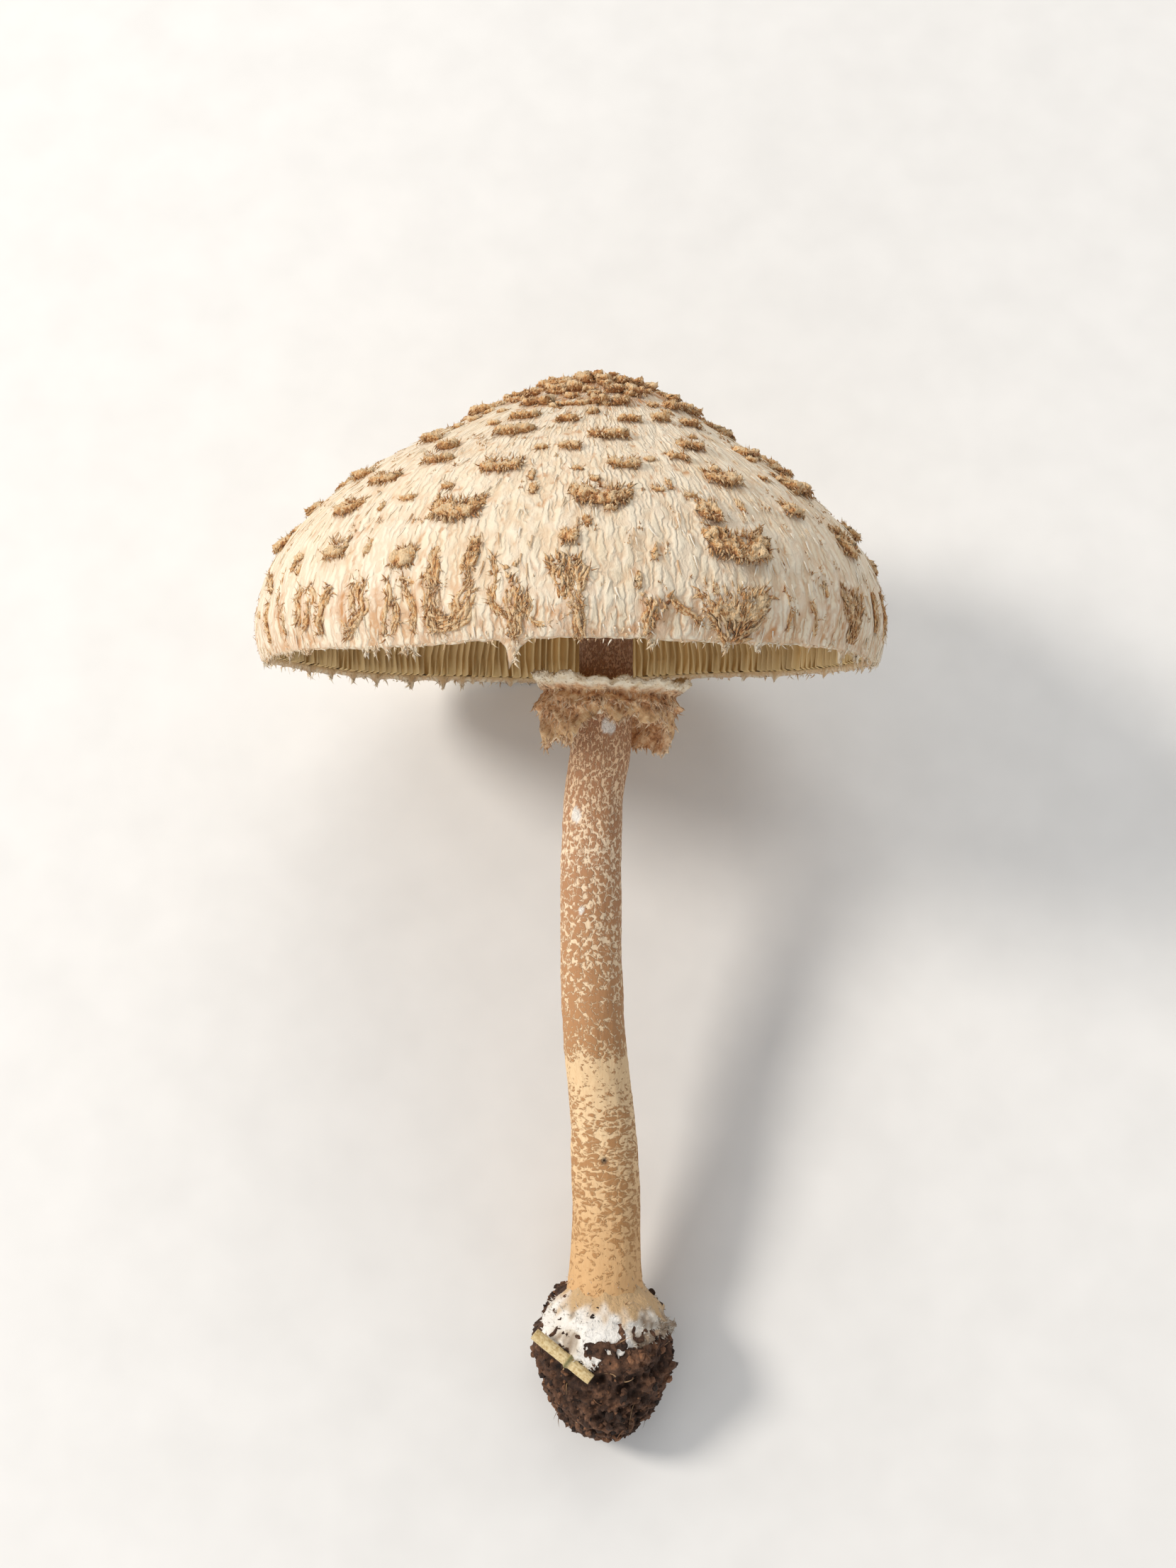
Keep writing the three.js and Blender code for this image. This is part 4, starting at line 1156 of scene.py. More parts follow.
class MUSHROOM_OT_ring(bpy.types.Operator):
    """Make the ring, a woolly collar with a pale flared lip and a torn brown skirt"""

    bl_idname = "mushroom.ring"
    bl_label = "Ring"

    seed = 37
    columns = 300
    rows = 76

    def execute(self, context):
        rng = np.random.default_rng(self.seed)
        outline = catmull_rom(RING, self.rows, closed=True)
        azimuth = all_round(self.columns)
        radius, z, hem, lip = (outline[:, k : k + 1] for k in range(4))
        hem, lip = np.clip(hem, 0, 1), np.clip(lip, 0, 1)
        body, out_side = self.shape(azimuth, radius, z, hem, lip)
        place = turned(azimuth, radius, z)
        crease = 174.3 + 0.7 * noise(place, (1.6, 1.6, 9), 4)
        outer = out_side * smooth(0.9, -0.5, z - crease)
        in_skirt = (1 - out_side) * smooth(10, 12.5, radius) * smooth(170.5, 169.5, z)
        outer = np.maximum(outer, in_skirt * (1.05 + 0.5 * noise(place, 2.2, 33)))
        values = {"outer": outer, "hem": hem * out_side}
        values = {k: np.concatenate([v, v[:1]]) for k, v in values.items()}
        piece = lathed("ring_collar", np.concatenate([body, body[:1]]), values)
        material = ring_material()
        keep_piece(piece, "ring", material)

        parts = []
        on_skirt = (radius[:, 0] > 12.5) & (z[:, 0] < 173.8)
        on_lip = (radius[:, 0] > 12.5) & (z[:, 0] > 173.2)
        # Rows that carry them, count, reach, width, how far they hang, and steps.
        tuft_sets = [
            (on_skirt, 950, (0.9, 2.4), (0.35, 0.85), 1.0, 3),
            (on_skirt & (z[:, 0] > 171.8), 260, (1.2, 2.6), (0.3, 0.6), 1.2, 3),
            (on_lip, 1700, (0.3, 0.8), (0.35, 0.65), -0.25, 2),
        ]
        for carrying, count, reach, width, hang, steps in tuft_sets:
            row = rng.choice(np.flatnonzero(carrying), count)
            column = rng.integers(0, self.columns, count)
            around = azimuth[0, column]
            across = body[(row + 1) % self.rows, column] - body[row - 1, column]
            round_way = turned(around + math.pi / 2, 1.0, 0.0)
            out = unit(np.cross(round_way, across), least=1e-9)
            ways = np.array([0, 0, -hang]) + out * rng.uniform(0.15, 0.7, count)[:, None]
            ways, outs = aimed(ways + round_way * rng.normal(0, 0.5, count)[:, None], out)
            roots = body[row, column] - out * 0.2
            shape = (roots, ways, outs, rng.uniform(*reach, count), rng.uniform(*width, count))
            sway = rng.normal(0, 0.4, count)
            curl = rng.uniform(-0.3, 0.5, count)
            points, triangles, share, each = strands(*shape, curl, sway, 4, steps, 0.8, 1.7)
            tone = np.clip(outer[row, column] * rng.uniform(0.45, 1.0, count), 0, 1)
            tone = np.repeat(tone, each) * (1 - 0.25 * share)  # darker towards the tip
            parts.append((points, triangles, {"outer": tone, "hem": 0 * tone}))
        piece = from_arrays("ring_wool", *joined(parts))
        keep_piece(piece, "ring", material)
        return {"FINISHED"}

    @staticmethod
    def shape(azimuth, radius, z, hem, lip):
        """The collar's points, and how much each faces outwards."""
        place = wrapped(azimuth, radius, z)
        column = azimuth / TURN * RING_COLUMNS
        first = np.floor(column)
        part = column - first
        tear = draw(first + 300) * (1 - part) + draw((first + 1) % RING_COLUMNS + 300) * part
        tear = tear + 0.5 * noise(place, (1.3, 1.3, 30), 3)
        front = np.maximum(0, np.cos(azimuth - 0.3))
        loose = smooth(8.2, 11, radius)
        turn = turn_from(0, azimuth)
        gap = 6.4 * smooth(-0.8, -0.1, turn) * smooth(1.75, 1.35, turn)
        drawn_up = gap * smooth(173, 163, z) + 1.1 * lip * tear - 1.6 * lip * front
        drop = 2.4 * hem * tear + (0.9 * np.sin(azimuth) - drawn_up) * loose
        skirt = smooth(13, 14.2, radius) * smooth(174.2, 172.5, z)
        fold = 0.45 * np.sin(9 * azimuth + z) + 0.7 * rough(place, (2.6, 2.6, 2.6), 7)
        wrinkles = 1 - 2.2 * np.abs(noise(place, (1.5, 1.5, 4), 9))
        fold = fold + skirt * (0.55 * wrinkles + 0.3 * noise(place, 0.9, 10))
        fold = fold + 0.2 * noise(place, 0.8, 12) * smooth(13, 14.2, radius)
        fold = fold - 0.7 * np.exp(-(((z - 173.4) / 0.7) ** 2)) * smooth(14.5, 15.2, radius)
        fold = fold + lip * (0.9 * noise(place, 4.5, 21) + 0.5 * noise(place, 1.4, 22))
        for side, level in ((-1.5, 169.6), (1.5, 169.2)):
            # A loose fin on each side of the skirt.
            fin = ((turn - side) / 0.11) ** 2 + ((z - level) / 1.3) ** 2
            fold = fold + 1.9 * np.exp(-fin) * smooth(14, 15, radius)
        out_side = smooth(13.9, 14.6, radius)
        height = z - drop
        x, y = (through(STEM, z, k) for k in (1, 2))
        across = radius + loose * fold * (1 - 0.5 * lip)
        return turned(azimuth, across, height, x + RING_X * loose, y), out_side


class MUSHROOM_OT_foot(bpy.types.Operator):
    """Make the felt at the foot of the stem, and its ball of soil with crumbs and rootlets"""

    bl_idname = "mushroom.foot"
    bl_label = "Felt and soil"

    seed = 53
    tufts = 1900
    crumbs = 1900
    rootlets = 90

    def execute(self, context):
        rng = np.random.default_rng(self.seed)
        self.felt(rng)
        self.soil(rng)
        return {"FINISHED"}

    def felt(self, rng):
        """The white felt, and the fluff that stands off it."""
        columns, rows = 180, 64
        outline = catmull_rom(FELT, rows)
        radius, z = np.maximum(outline[:, :1], 0), outline[:, 1:]
        azimuth = all_round(columns)
        place = turned(azimuth, radius, z)
        hem = smooth(26.5, 23.5, z)
        tongue = 3.4 * np.exp(-((turn_from(-0.15, azimuth) / 0.3) ** 2))
        hang = hem * (2.4 * rough(place, (4, 4, 40), 3) + 1.2 * noise(place, (1.3, 1.3, 30), 6))
        hang = hang + hem * (tongue - 1.5 * smooth(0.3, 0.8, azimuth) * smooth(2.6, 2, azimuth))
        lump = 0.35 * np.sin(5 * azimuth + z) + 1.0 * rough(place, 2.6, 8)
        lump = lump + 0.35 * np.abs(noise(place, 0.9, 18))
        lump = lump * smooth(0, 4, radius) * np.where(z > 30, 0.5, 1.0)
        onto_stem = smooth(31.5, 36, z + 1.2 * noise(place, (2.5, 2.5, 6), 20))
        stem_side = np.minimum(radius, through(STEM, z, 3) - 0.3)
        across = (radius + lump) * (1 - onto_stem) + stem_side * onto_stem
        points = turned(azimuth, np.maximum(across, 0), z - hang, SOIL_X)
        points[[0, -1]] = turned(0.0, 0.0, outline[[0, -1], 1:], SOIL_X)
        # The right side is greyer: painted shade, added to the real dirt.
        shady = 0.75 * smooth(0.2, 0.8, np.sin(azimuth))
        dirt = smooth(0.15, 0.9, rough(place, 3, 12) + 0.35 * hem + shady)
        golden = smooth(29, 32.5, z + 3 * noise(place, (2.2, 2.2, 6), 23) + 1.5 * np.sin(azimuth))
        piece = lathed("felt_collar", points, {"dirt": dirt, "golden": golden})
        material = felt_material()
        keep_piece(piece, "mycelium", material)

        count = self.tufts
        row = rng.integers(rows // 4, rows - 5, count)
        column = rng.integers(0, columns, count)
        white = rng.random(count) > 0.85 * golden[row, column]
        row, column = row[white], column[white]
        out = turned(azimuth[0, column], 1.0, 0.35)
        ways, outs = aimed(out * 0.5 + rng.normal(0, 0.7, (len(row), 3)), out + 0.01)
        roots = points[row, column] - out * 0.3
        long = rng.uniform(0.6, 1.7, len(row))
        wide = rng.uniform(0.25, 0.6, len(row))
        shape = (roots, ways, outs, long, wide, 0.3, rng.normal(0, 0.5, len(row)))
        points, triangles, _, each = strands(*shape, blunt=1.8)
        values = {
            "dirt": np.repeat(dirt[row, column] * 0.6, each),
            "golden": np.repeat(golden[row, column] * 0.7, each),
        }
        piece = from_arrays("felt_fluff", points, triangles, values)
        keep_piece(piece, "mycelium", material)

    def soil(self, rng):
        """The ball of soil, its loose crumbs, and the rootlets and husks in it."""
        columns, rows = 220, 120
        outline = catmull_rom(SOIL, rows)
        radius, z = np.maximum(outline[:, :1], 0), outline[:, 1:]
        azimuth = all_round(columns)
        place = turned(azimuth, radius, z)
        lump = 0.6 * np.sin(3 * azimuth + z / 4) + 1.6 * rough(place, 4.5, 3)
        lump = lump + 0.9 * (1 - 2.5 * np.abs(noise(place, 1.9, 9))) + 0.6 * noise(place, 0.9, 10)
        lump = lump * (1 - 0.75 * smooth(25, 29, z) * (np.cos(azimuth) > -0.2))
        shoulder = smooth(22, 30, z) * 1.2 * np.maximum(0, -np.sin(azimuth + 0.6))
        across = np.maximum(radius + lump * smooth(0, 5, radius), 0)
        # Lighter where the ball bulges and darker in its hollows: painted shade, over a random
        # tone.
        tone = 0.45 + 0.5 * rough(place, 2.4, 15) + 0.25 * lump / 2
        for middle, height, size in SOIL_LUMPS:
            aside = turn_from(middle, azimuth) * radius
            near = np.exp(-((aside**2 + (z - height) ** 2) / size**2) ** 2)
            across = across + 0.75 * size * near
            tone = tone * (1 - 0.5 * near) + 0.5 * near
        points = turned(azimuth, across, z + shoulder, SOIL_X)
        points[[0, -1]] = turned(0.0, 0.0, outline[[0, -1], 1:], SOIL_X)
        tone = np.clip(tone, 0, 1)
        piece = lathed("soil_ball", points, {"tone": tone})
        material = soil_material()
        keep_piece(piece, "soil_clump", material)

        bpy.ops.mesh.primitive_ico_sphere_add(subdivisions=1, radius=1)
        ball = bpy.context.object
        shape = np.array([v.co for v in ball.data.vertices])
        faces = np.array([p.vertices for p in ball.data.polygons])
        bpy.data.objects.remove(ball)
        parts = []
        for _ in range(self.crumbs):
            row = int(rng.integers(5, int(rows * 0.86)))
            column = int(rng.integers(0, columns))
            if z[row, 0] > 25 and math.cos(azimuth[0, column]) > -0.2:
                continue
            size = 0.3 + 0.95 * rng.random() ** 3
            stretch = rng.uniform(0.6, 1.35, 3) * size
            axes, _ = np.linalg.qr(rng.standard_normal((3, 3)))
            if np.linalg.det(axes) < 0:
                axes[:, 0] = -axes[:, 0]
            angular = shape * rng.uniform(0.7, 1.25, len(shape))[:, None]
            centre = points[row, column]
            inwards = turned(azimuth[0, column], 0.2 * size, 0.0)
            crumb = (angular * stretch) @ axes.T + centre - inwards
            tone = np.full(len(shape), np.clip(rng.normal(0.5, 0.3), 0, 1))
            parts.append((crumb, faces, {"tone": tone}))
        turn, height, size = DARK_LUMP
        dark_lump = shape * np.array([0.9, 0.7, 1.3]) * size + turned(turn, 12.6, height, SOIL_X)
        parts.append((dark_lump, faces, {"tone": np.zeros(len(shape))}))
        piece = from_arrays("soil_crumbs", *joined(parts), smooth_shading=False)
        keep_piece(piece, "soil_clump", material)

        count = self.rootlets
        row = rng.integers(10, int(rows * 0.8), count)
        column = rng.integers(0, columns, count)
        out = turned(azimuth[0, column], 1.0, 0.0)
        ways, outs = aimed(rng.standard_normal((count, 3)) - out * 0.2, out)
        long = rng.uniform(1.5, 4.5, count)
        wide = rng.uniform(0.16, 0.5, count)
        roots = points[row, column] + out * 0.2
        shape = (roots, ways, outs, long, wide, -0.25, rng.normal(0, 0.5, count))
        points, triangles, _, each = strands(*shape, steps=6, flat=0.6, blunt=1.5)
        tone = np.repeat(rng.uniform(0, 1, count), each)
        piece = from_arrays("rootlets", points, triangles, {"tone": tone})
        keep_piece(piece, "soil_clump", rootlet_material())


class MUSHROOM_OT_straw(bpy.types.Operator):
    """Make the dry straw on the soil, with its joint and its open ends"""

    bl_idname = "mushroom.straw"
    bl_label = "Straw"

    columns = 48
    rows = 90
    joint_at = 0.6  # share of the length

    def execute(self, context):
        start, end = np.array(STRAW_FROM, float), np.array(STRAW_TO, float)
        length = np.linalg.norm(end - start)
        way = (end - start) / length
        side = np.cross(way, [0, 1, 0])
        side /= np.linalg.norm(side)
        other = np.cross(way, side)
        # Share of the length and of the radius, from inside one cut end to inside the other.
        outline = [
            (0.09, 0), (0.07, 0.72), (0.01, 0.78), (0, 0.92), (0.015, 1), (0.3, 1.02),
            (0.54, 1.0), (0.58, 1.2), (0.605, 1.24), (0.63, 1.1), (0.66, 0.96), (0.8, 0.98),
            (0.975, 0.93), (1, 0.85), (0.99, 0.68), (0.93, 0.62), (0.91, 0),
        ]
        table = catmull_rom(outline, self.rows)
        at, size = table[:, :1] * length, np.maximum(table[:, 1:], 0) * STRAW_RADIUS
        azimuth = all_round(self.columns)
        grooves = 1 + 0.035 * np.cos(13 * azimuth) * smooth(0.5, 0.9, size / STRAW_RADIUS)
        across = size * grooves
        middle = start + at[..., None] * way
        points = middle + (across * np.cos(azimuth))[..., None] * side
        points = points + (across * np.sin(azimuth))[..., None] * other
        points[[0, -1]] = middle[[0, -1]]
        values = {
            "joint": np.exp(-(((table[:, :1] - self.joint_at) / 0.035) ** 2)),
            # Dark inside the cut ends: painted shade in the hollow.
            "inside": smooth(0.84, 0.7, table[:, 1:]),
        }
        piece = lathed("straw_stalk", points, values)
        keep_piece(piece, "straw", straw_material())
        return {"FINISHED"}


class MUSHROOM_OT_stage(bpy.types.Operator):
    """Make the table top, the soft lights and the camera"""

    bl_idname = "mushroom.stage"
    bl_label = "Stage"

    camera_far = 530.0  # from the lens to the standing stem, in millimetres
    camera_x = -2.08
    camera_z = 144.3
    aimed_at = 152.33  # height on the standing stem that the camera looks at
    lens = 51.75
    floor_size = 6
    floor_z = -0.0002  # just under the mushroom, so that the two don't share a face
    # Name, place and size in metres, and colour. The power is the setting of that name.
    lights = (
        ("key", (-1.55, 0.3, 1.5), 0.55, "#FFF7EE"),
        ("top", (0.1, 1.7, 1.35), 1.4, "#FFFBF5"),
        ("front", (-0.5, -1.5, 0.55), 1.2, "#FFFFFF"),
    )

    def execute(self, context):
        bpy.ops.object.select_all(action="DESELECT")
        bpy.ops.mesh.primitive_plane_add(size=self.floor_size, location=(0, 0, self.floor_z))
        floor = context.object
        floor.name = "table_top"
        bpy.ops.object.transform_apply(location=True)
        floor.data.materials.append(table_material())

        far = np.array([self.camera_x, -self.camera_far, self.camera_z])
        flat = laid_down(far[None])[0]
        pitch = math.atan((self.aimed_at - self.camera_z) / self.camera_far)
        bpy.ops.object.camera_add(location=flat, rotation=(TILT + pitch, 0, 0))
        camera = context.object
        camera.data.lens = self.lens
        camera.data.sensor_width = 36
        camera.data.clip_start = 0.01
        context.scene.camera = camera
        # Colours are shown as they are, without a film's curve over them.
        context.scene.view_settings.view_transform = "Standard"

        parasol = context.scene.parasol
        for name, place, size, colour in self.lights:
            bpy.ops.object.light_add(type="AREA", location=place)
            light = context.object
            light.name = name
            light.data.shape = "DISK"
            light.data.size = size
            light.data.energy = getattr(parasol, name + "_power")
            light.data.color = hex_colour(colour)
            light.rotation_euler = (-light.location).to_track_quat("-Z", "Y").to_euler()

        world = bpy.data.worlds.new("room")
        context.scene.world = world
        world.use_nodes = True
        room = world.node_tree.nodes["Background"]
        room.inputs["Color"].default_value = (*hex_colour("#F6F6F8"), 1)
        room.inputs["Strength"].default_value = parasol.fill_strength
        return {"FINISHED"}


def skin_material(context):
    """Dry skin of the cap: cream wrinkles that run downhill with tan creases between, partly the
    skin's own tan and partly painted shade, with painted highlights on the crests; golden brown
    where the boss is whole. It looks matte and softly felted."""
    material, tree, shader = new_material("cap_skin_felt", 0.85, sheen_weight=0.08)
    flesh = (*context.scene.parasol.flesh, 1)
    brown = (*context.scene.parasol.scale_brown, 1)
    thread = add_node(tree, "Attribute", output="Vector", attribute_name="thread")
    stain, ridge, below = (
        add_node(tree, "Attribute", output="Fac", attribute_name=name)
        for name in ("stain", "ridge", "below")
    )
    # The islands and threads below sway over 2.5 mm, and the cream varies over 12 mm.
    bend = add_node(
        tree, "TexNoise", {"Vector": thread, "Scale": 0.4, "Detail": 2.0}, output="Color"
    )
    bent = add_node(
        tree, "VectorMath", {0: bend, 1: (1.8, 1.8, 1.0), 2: thread}, operation="MULTIPLY_ADD"
    )
    # Islands of pale skin about 1.4 mm wide and 7 mm long.
    drawn = add_node(tree, "Mapping", {"Vector": bent, "Scale": (0.7, 0.7, 0.13)})
    islands = add_node(
        tree, "TexVoronoi", {"Vector": drawn, "Scale": 1.0}, feature="DISTANCE_TO_EDGE"
    )
    crest = add_node(
        tree, "MapRange", {"Value": islands, "From Max": 0.3}, interpolation_type="SMOOTHSTEP"
    )
    # Threads about 0.4 mm wide and 3 mm long.
    fine = add_node(tree, "Mapping", {"Vector": bent, "Scale": (2.2, 2.2, 0.26)})
    threads = add_node(
        tree, "TexNoise", {"Vector": fine, "Scale": 1.0, "Detail": 3.0, "Roughness": 0.6}
    )
    height = add_node(tree, "Math", {0: threads, 1: 0.9, 2: crest}, operation="MULTIPLY_ADD")
    patches = add_node(tree, "TexNoise", {"Vector": thread, "Scale": 0.08, "Detail": 2.0})
    cream = add_node(tree, "Mix", {"Factor": patches, "A": flesh, "B": "#E9D5B3"}, data_type="RGBA")
    pale = add_node(
        tree, "MapRange",
        {"Value": height, "From Min": 0.35, "From Max": 1.15, "To Min": 1, "To Max": 0},
    )
    # The creases are painted a darker tan, more where the skin is stained: partly the skin's own
    # tan and partly painted shade.
    more = add_node(tree, "Math", {0: stain, 1: 1.3, 2: 0.38}, operation="MULTIPLY_ADD")
    crease_tan_and_shade = add_node(tree, "Math", {0: pale, 1: more}, operation="MULTIPLY", use_clamp=True)
    wrinkled = add_node(
        tree, "Mix", {"Factor": crease_tan_and_shade, "A": cream, "B": "#CDA074"}, data_type="RGBA"
    )
    # The crests of the wrinkles are painted lighter: a painted highlight.
    lit = add_node(tree, "MapRange", {"Value": ridge, "From Min": 0.45, "To Max": 0.4})
    crested = add_node(
        tree, "Mix", {"Factor": lit, "A": wrinkled, "B": "#FBF4E2"}, data_type="RGBA"
    )
    ragged = add_node(tree, "Math", {0: threads, 1: 0.9, 2: stain}, operation="MULTIPLY_ADD")
    whole = add_node(tree, "MapRange", {"Value": ragged, "From Min": 0.85, "From Max": 1.3})
    browned = add_node(tree, "Mix", {"Factor": whole, "A": crested, "B": brown}, data_type="RGBA")
    lined = add_node(tree, "Mix", {"Factor": below, "A": browned, "B": "#CBAA76"}, data_type="RGBA")
    finish_surface(tree, shader, lined, height, 0.00022)
    return material


def scale_material(context):
    """Felt of the scales: matted brown fibres, with painted highlights on the crests and painted
    shade in the creases.
    """
    material, tree, shader = new_material("scale_felt", 0.9, sheen_weight=0.1)
    brown = (*context.scene.parasol.scale_brown, 1)
    shade = add_node(tree, "Attribute", output="Fac", attribute_name="shade")
    place = add_node(tree, "TexCoord", output="Object")
    # Matted fibres about 0.4 mm thick and 1.6 mm long, which run down the cap along Y.
    drawn = add_node(tree, "Mapping", {"Vector": place, "Scale": (2300.0, 620.0, 2300.0)})
    fibres = add_node(
        tree, "TexNoise", {"Vector": drawn, "Scale": 1.0, "Detail": 3.0, "Roughness": 0.6}
    )
    sharp = add_node(
        tree, "MapRange", {"Value": fibres, "From Min": 0.32, "From Max": 0.68, "To Max": 0.65}
    )
    # The fibres' noise, the same as the bump's, lightens the colour where they stand up and darkens
    # it between them: painted highlight and shade.
    mixed = add_node(tree, "Math", {0: sharp, 1: shade})
    ramp = add_node(
        tree, "ValToRGB", {"Fac": mixed},
        stops=[(0.22, "#8A552E"), (0.44, "#C88D54"), (0.65, "#E9B97C"), (0.88, "#F8DCB0")],
    )
    tinted = add_node(tree, "Mix", {"Factor": 0.15, "A": ramp, "B": brown}, data_type="RGBA")
    finish_surface(tree, shader, tinted, fibres, 0.0008)
    return material


def fibre_material():
    """Single threads of the torn skin, cream to tan."""
    material, tree, shader = new_material("skin_threads", 0.85, sheen_weight=0.1)
    shade = add_node(tree, "Attribute", output="Fac", attribute_name="shade")
    ramp = add_node(
        tree, "ValToRGB", {"Fac": shade},
        stops=[(0.0, "#F6EEDD"), (0.35, "#E9D6B6"), (0.75, "#C99E6C")],
    )
    finish_surface(tree, shader, ramp)
    return material


def gill_material():
    """Gills: thin soft blades, paler on their edges and darker up between them as painted shade,
    browner towards the stem, partly from age and partly as painted shade under the cap.
    """
    material, tree, shader = new_material("gill_tissue", 0.8)
    edge, reach, tone = (
        add_node(tree, "Attribute", output="Fac", attribute_name=name)
        for name in ("edge", "reach", "tone")
    )
    # Tan near the rim to brown near the stem: partly the gills' own age and partly painted shade
    # deep under the cap.
    depth = add_node(
        tree, "ValToRGB", {"Fac": reach},
        stops=[(0.14, "#7C5832"), (0.4, "#B68E54"), (0.75, "#D9B172"), (0.97, "#E4C488")],
    )
    # Paler towards each blade's edge and darker up between the blades by the web: painted shade in
    # the gaps.
    less = add_node(tree, "Math", {0: edge, 1: 0.45}, operation="MULTIPLY")
    light = add_node(tree, "Mix", {"Factor": less, "A": depth, "B": "#EED4A2"}, data_type="RGBA")
    dim = add_node(tree, "MapRange", {"Value": tone, "To Min": 0.0, "To Max": 0.4})
    varied = add_node(tree, "Mix", {"Factor": dim, "A": light, "B": "#8E6F46"}, data_type="RGBA")
    place = add_node(tree, "TexCoord", output="Object")
    # Grain about 1 mm across.
    grain = add_node(tree, "TexNoise", {"Vector": place, "Scale": 900.0, "Detail": 2.0})
    finish_surface(tree, shader, varied, grain, 0.0001)
    return material


def stem_material():
    """Skin of the stem: brown patches torn apart by cream cracks, golden and threaded at the foot,
    dark under the cap."""
    material, tree, shader = new_material("stem_skin", 0.75)
    pattern = add_node(tree, "Attribute", output="Vector", attribute_name="pattern")
    cover, bare, pit, height = (
        add_node(tree, "Attribute", output="Fac", attribute_name=name)
        for name in ("cover", "bare", "pit", "height")
    )
    place = add_node(tree, "TexCoord", output="Object")
    # Patches of 1 to 2 mm. The attribute is scaled to their size.
    blots = add_node(
        tree, "TexNoise",
        {"Vector": pattern, "Scale": 1.0, "Detail": 2.5, "Roughness": 0.6, "Distortion": 0.6},
    )
    cells = add_node(
        tree, "TexVoronoi", {"Vector": pattern, "Scale": 0.62}, feature="DISTANCE_TO_EDGE"
    )
    crack = add_node(
        tree, "MapRange", {"Value": cells, "From Max": 0.13, "To Min": -0.09, "To Max": 0.02}
    )
    torn_apart = add_node(tree, "Math", {0: blots, 1: crack})
    # With a cover of a half, half of the blots pass. Their values lie within 0.15 of 0.5.
    with_cover = add_node(
        tree, "Math", {0: cover, 1: 0.36, 2: torn_apart}, operation="MULTIPLY_ADD"
    )
    band = add_node(
        tree, "MapRange",
        {"Value": with_cover, "From Min": 0.6, "From Max": 0.76, "To Max": 0.9},
        interpolation_type="SMOOTHSTEP",
    )
    # Threads about 0.4 mm wide that run up the stem, which lies along Y.
    drawn = add_node(tree, "Mapping", {"Vector": place, "Scale": (1800.0, 300.0, 1800.0)})
    threads = add_node(tree, "TexNoise", {"Vector": drawn, "Scale": 1.0, "Detail": 3.0})
    flesh = add_node(
        tree, "ValToRGB", {"Fac": height},
        stops=[
            (0.12, "#DCB07A"), (0.2, "#DFB683"), (0.3, "#F2D4A8"), (0.36, "#EACB9E"),
            (0.42, "#F6DCB6"), (0.58, "#FBE4C4"), (0.68, "#F4CFA6"), (0.74, "#DDB394"),
        ],
    )
    skin = add_node(
        tree, "ValToRGB", {"Fac": height},
        stops=[
            (0.12, "#BC8C56"), (0.24, "#A87644"), (0.45, "#B17A4A"), (0.64, "#A8724C"),
            (0.72, "#9C6B4E"), (1.0, "#906A56"),
        ],
    )
    patched = add_node(tree, "Mix", {"Factor": band, "A": flesh, "B": skin}, data_type="RGBA")
    veil = add_node(
        tree, "MapRange", {"Value": threads, "From Min": 0.4, "From Max": 0.75, "To Max": 0.3}
    )
    threaded = add_node(
        tree, "Mix", {"Factor": veil, "A": patched, "B": "#C9955F"}, data_type="RGBA"
    )
    torn = add_node(tree, "Mix", {"Factor": bare, "A": threaded, "B": "#F6F0E6"}, data_type="RGBA")
    # Near black in the hole: painted shade.
    holed = add_node(tree, "Mix", {"Factor": pit, "A": torn, "B": "#3E2A1C"}, data_type="RGBA")
    raised = add_node(tree, "Math", {0: threads, 1: 0.5, 2: band}, operation="MULTIPLY_ADD")
    finish_surface(tree, shader, holed, raised, 0.0002)
    return material


def ring_material():
    """Woolly veil tissue: cream inside and on the lip, tan outside. Both are darker in the wool's
    hollows, brown outside, partly the veil's own brown and partly painted shade, and lighter on its
    tufts as painted highlight.
    """
    material, tree, shader = new_material("ring_wool", 0.9, sheen_weight=0.1)
    outer, hem = (
        add_node(tree, "Attribute", output="Fac", attribute_name=name)
        for name in ("outer", "hem")
    )
    place = add_node(tree, "TexCoord", output="Object")
    # Tufts of wool about 1 mm across.
    wool = add_node(
        tree, "TexNoise", {"Vector": place, "Scale": 560.0, "Detail": 4.0, "Roughness": 0.65}
    )
    # Both ramps darken in the wool's hollows and lighten on its tufts, from the same noise as its
    # bump: painted shade and highlight.
    outside = add_node(
        tree, "ValToRGB", {"Fac": wool},
        stops=[(0.34, "#8C5C38"), (0.46, "#CB9768"), (0.62, "#ECCA9E")],
    )
    inside = add_node(tree, "ValToRGB", {"Fac": wool}, stops=[(0.32, "#DCC39C"), (0.55, "#F1E4CB")])
    mixed = add_node(tree, "Mix", {"Factor": outer, "A": inside, "B": outside}, data_type="RGBA")
    golden = add_node(tree, "Math", {0: hem, 1: 0.5}, operation="MULTIPLY")
    hemmed = add_node(tree, "Mix", {"Factor": golden, "A": mixed, "B": "#D9B684"}, data_type="RGBA")
    finish_surface(tree, shader, hemmed, wool, 0.0005)
    return material


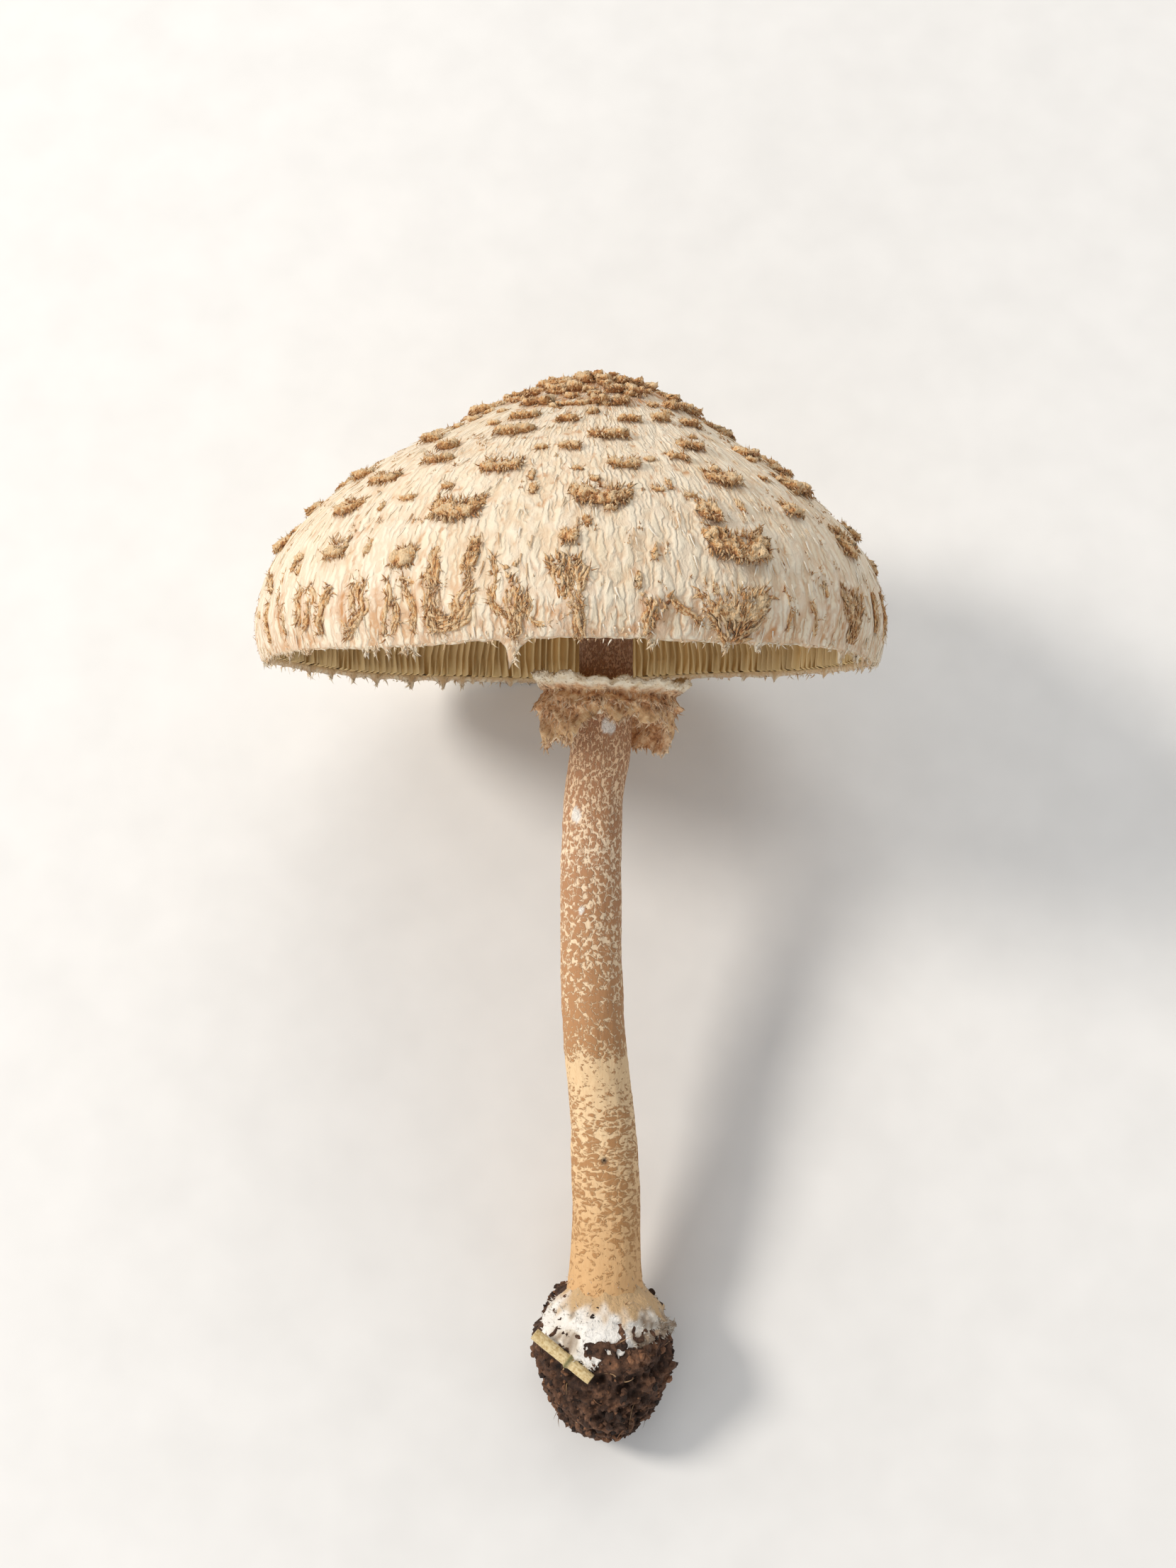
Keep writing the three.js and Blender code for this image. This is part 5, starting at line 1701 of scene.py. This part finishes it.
def felt_material():
    """Mycelium: fine white threads matted to a felt, golden where it runs up the stem, with soil
    rubbed in, and greyer on its right side as painted shade."""
    material, tree, shader = new_material("mycelium_felt", 0.95, sheen_weight=0.15)
    dirt, golden = (
        add_node(tree, "Attribute", output="Fac", attribute_name=name)
        for name in ("dirt", "golden")
    )
    place = add_node(tree, "TexCoord", output="Object")
    # Tangles of threads about 0.9 mm across.
    fluff = add_node(tree, "TexNoise", {"Vector": place, "Scale": 1100.0, "Detail": 4.0})
    white = add_node(
        tree, "ValToRGB", {"Fac": dirt},
        stops=[(0.0, "#F8F5EE"), (0.5, "#E3DACB"), (1.0, "#9C8873")],
    )
    gilded = add_node(tree, "Mix", {"Factor": golden, "A": white, "B": "#D2B184"}, data_type="RGBA")
    finish_surface(tree, shader, gilded, fluff, 0.0006)
    return material


def soil_material():
    """Damp garden soil: crumbs from near black to reddish brown, with a faint damp gleam."""
    material, tree, shader = new_material("crumbly_soil", 0.85)
    tone = add_node(tree, "Attribute", output="Fac", attribute_name="tone")
    place = add_node(tree, "TexCoord", output="Object")
    # Grit of about 0.5 mm.
    grit = add_node(
        tree, "TexNoise", {"Vector": place, "Scale": 1100.0, "Detail": 5.0, "Roughness": 0.7}
    )
    mixed = add_node(tree, "Math", {0: grit, 1: 1.3, 2: tone}, operation="MULTIPLY_ADD")
    halved = add_node(tree, "Math", {0: mixed, 1: 0.5}, operation="MULTIPLY")
    ramp = add_node(
        tree, "ValToRGB", {"Fac": halved},
        stops=[(0.25, "#1B110B"), (0.5, "#432C1E"), (0.7, "#72503A"), (0.95, "#B27E58")],
    )
    finish_surface(tree, shader, ramp, grit, 0.0009)
    return material


def rootlet_material():
    """Dry rootlets and husks: thin, brown and a little shiny."""
    material, tree, shader = new_material("dry_rootlet", 0.6)
    tone = add_node(tree, "Attribute", output="Fac", attribute_name="tone")
    ramp = add_node(
        tree, "ValToRGB", {"Fac": tone},
        stops=[(0.0, "#4A3020"), (0.6, "#8C6242"), (1.0, "#C9A77C")],
    )
    finish_surface(tree, shader, ramp)
    return material


def straw_material():
    """Dry straw: pale yellow with fine grain along it, greenish grey at the joint, and dark inside
    its cut ends as painted shade.
    """
    material, tree, shader = new_material("dry_straw", 0.5)
    joint, inside = (
        add_node(tree, "Attribute", output="Fac", attribute_name=name)
        for name in ("joint", "inside")
    )
    place = add_node(tree, "TexCoord", output="Object")
    # Grain about 0.7 mm across.
    grain = add_node(tree, "TexNoise", {"Vector": place, "Scale": 1400.0, "Detail": 3.0})
    pale = add_node(tree, "ValToRGB", {"Fac": grain}, stops=[(0.35, "#BFA36C"), (0.6, "#E2CE9E")])
    jointed = add_node(tree, "Mix", {"Factor": joint, "A": pale, "B": "#7A7446"}, data_type="RGBA")
    # Darker brown inside the cut ends: painted shade in the hollow.
    ended = add_node(
        tree, "Mix", {"Factor": inside, "A": jointed, "B": "#6B5836"}, data_type="RGBA"
    )
    finish_surface(tree, shader, ended, grain, 0.0002)
    return material


def table_material():
    """Matte painted board, nearly white."""
    material, tree, shader = new_material("painted_board", 0.9)
    place = add_node(tree, "TexCoord", output="Object")
    # A mottling about 17 mm across, too faint to see as a pattern.
    grain = add_node(tree, "TexNoise", {"Vector": place, "Scale": 60.0, "Detail": 2.0})
    ramp = add_node(tree, "ValToRGB", {"Fac": grain}, stops=[(0.3, "#ECECEA"), (0.7, "#F1F1EF")])
    finish_surface(tree, shader, ramp)
    return material


class MUSHROOM_PT_panel(bpy.types.Panel):
    """Lists the pieces of the mushroom"""

    bl_label = "Parasol mushroom"
    bl_space_type = "VIEW_3D"
    bl_region_type = "UI"
    bl_category = "Mushroom"

    def draw(self, context):
        for name in ParasolSettings.__annotations__:
            self.layout.prop(context.scene.parasol, name)
        for operator in OPERATORS:
            self.layout.operator(operator.bl_idname)


OPERATORS = [
    MUSHROOM_OT_cap_skin,
    MUSHROOM_OT_cap_scales,
    MUSHROOM_OT_cap_fibres,
    MUSHROOM_OT_gills,
    MUSHROOM_OT_stem,
    MUSHROOM_OT_ring,
    MUSHROOM_OT_foot,
    MUSHROOM_OT_straw,
    MUSHROOM_OT_stage,
]
CLASSES = [ParasolSettings, *OPERATORS, MUSHROOM_PT_panel]


def register():
    for each in CLASSES:
        bpy.utils.register_class(each)
    bpy.types.Scene.parasol = bpy.props.PointerProperty(type=ParasolSettings)


def unregister():
    del bpy.types.Scene.parasol
    for each in reversed(CLASSES):
        bpy.utils.unregister_class(each)


def main():
    register()
    bpy.ops.object.select_all(action="DESELECT")
    bpy.ops.mushroom.cap_skin()
    bpy.ops.mushroom.cap_scales()
    bpy.ops.mushroom.cap_fibres()
    bpy.ops.mushroom.gills()
    bpy.ops.mushroom.stem()
    bpy.ops.mushroom.ring()
    bpy.ops.mushroom.foot()
    bpy.ops.mushroom.straw()
    bpy.ops.mushroom.stage()


if __name__ == "__main__":
    main()
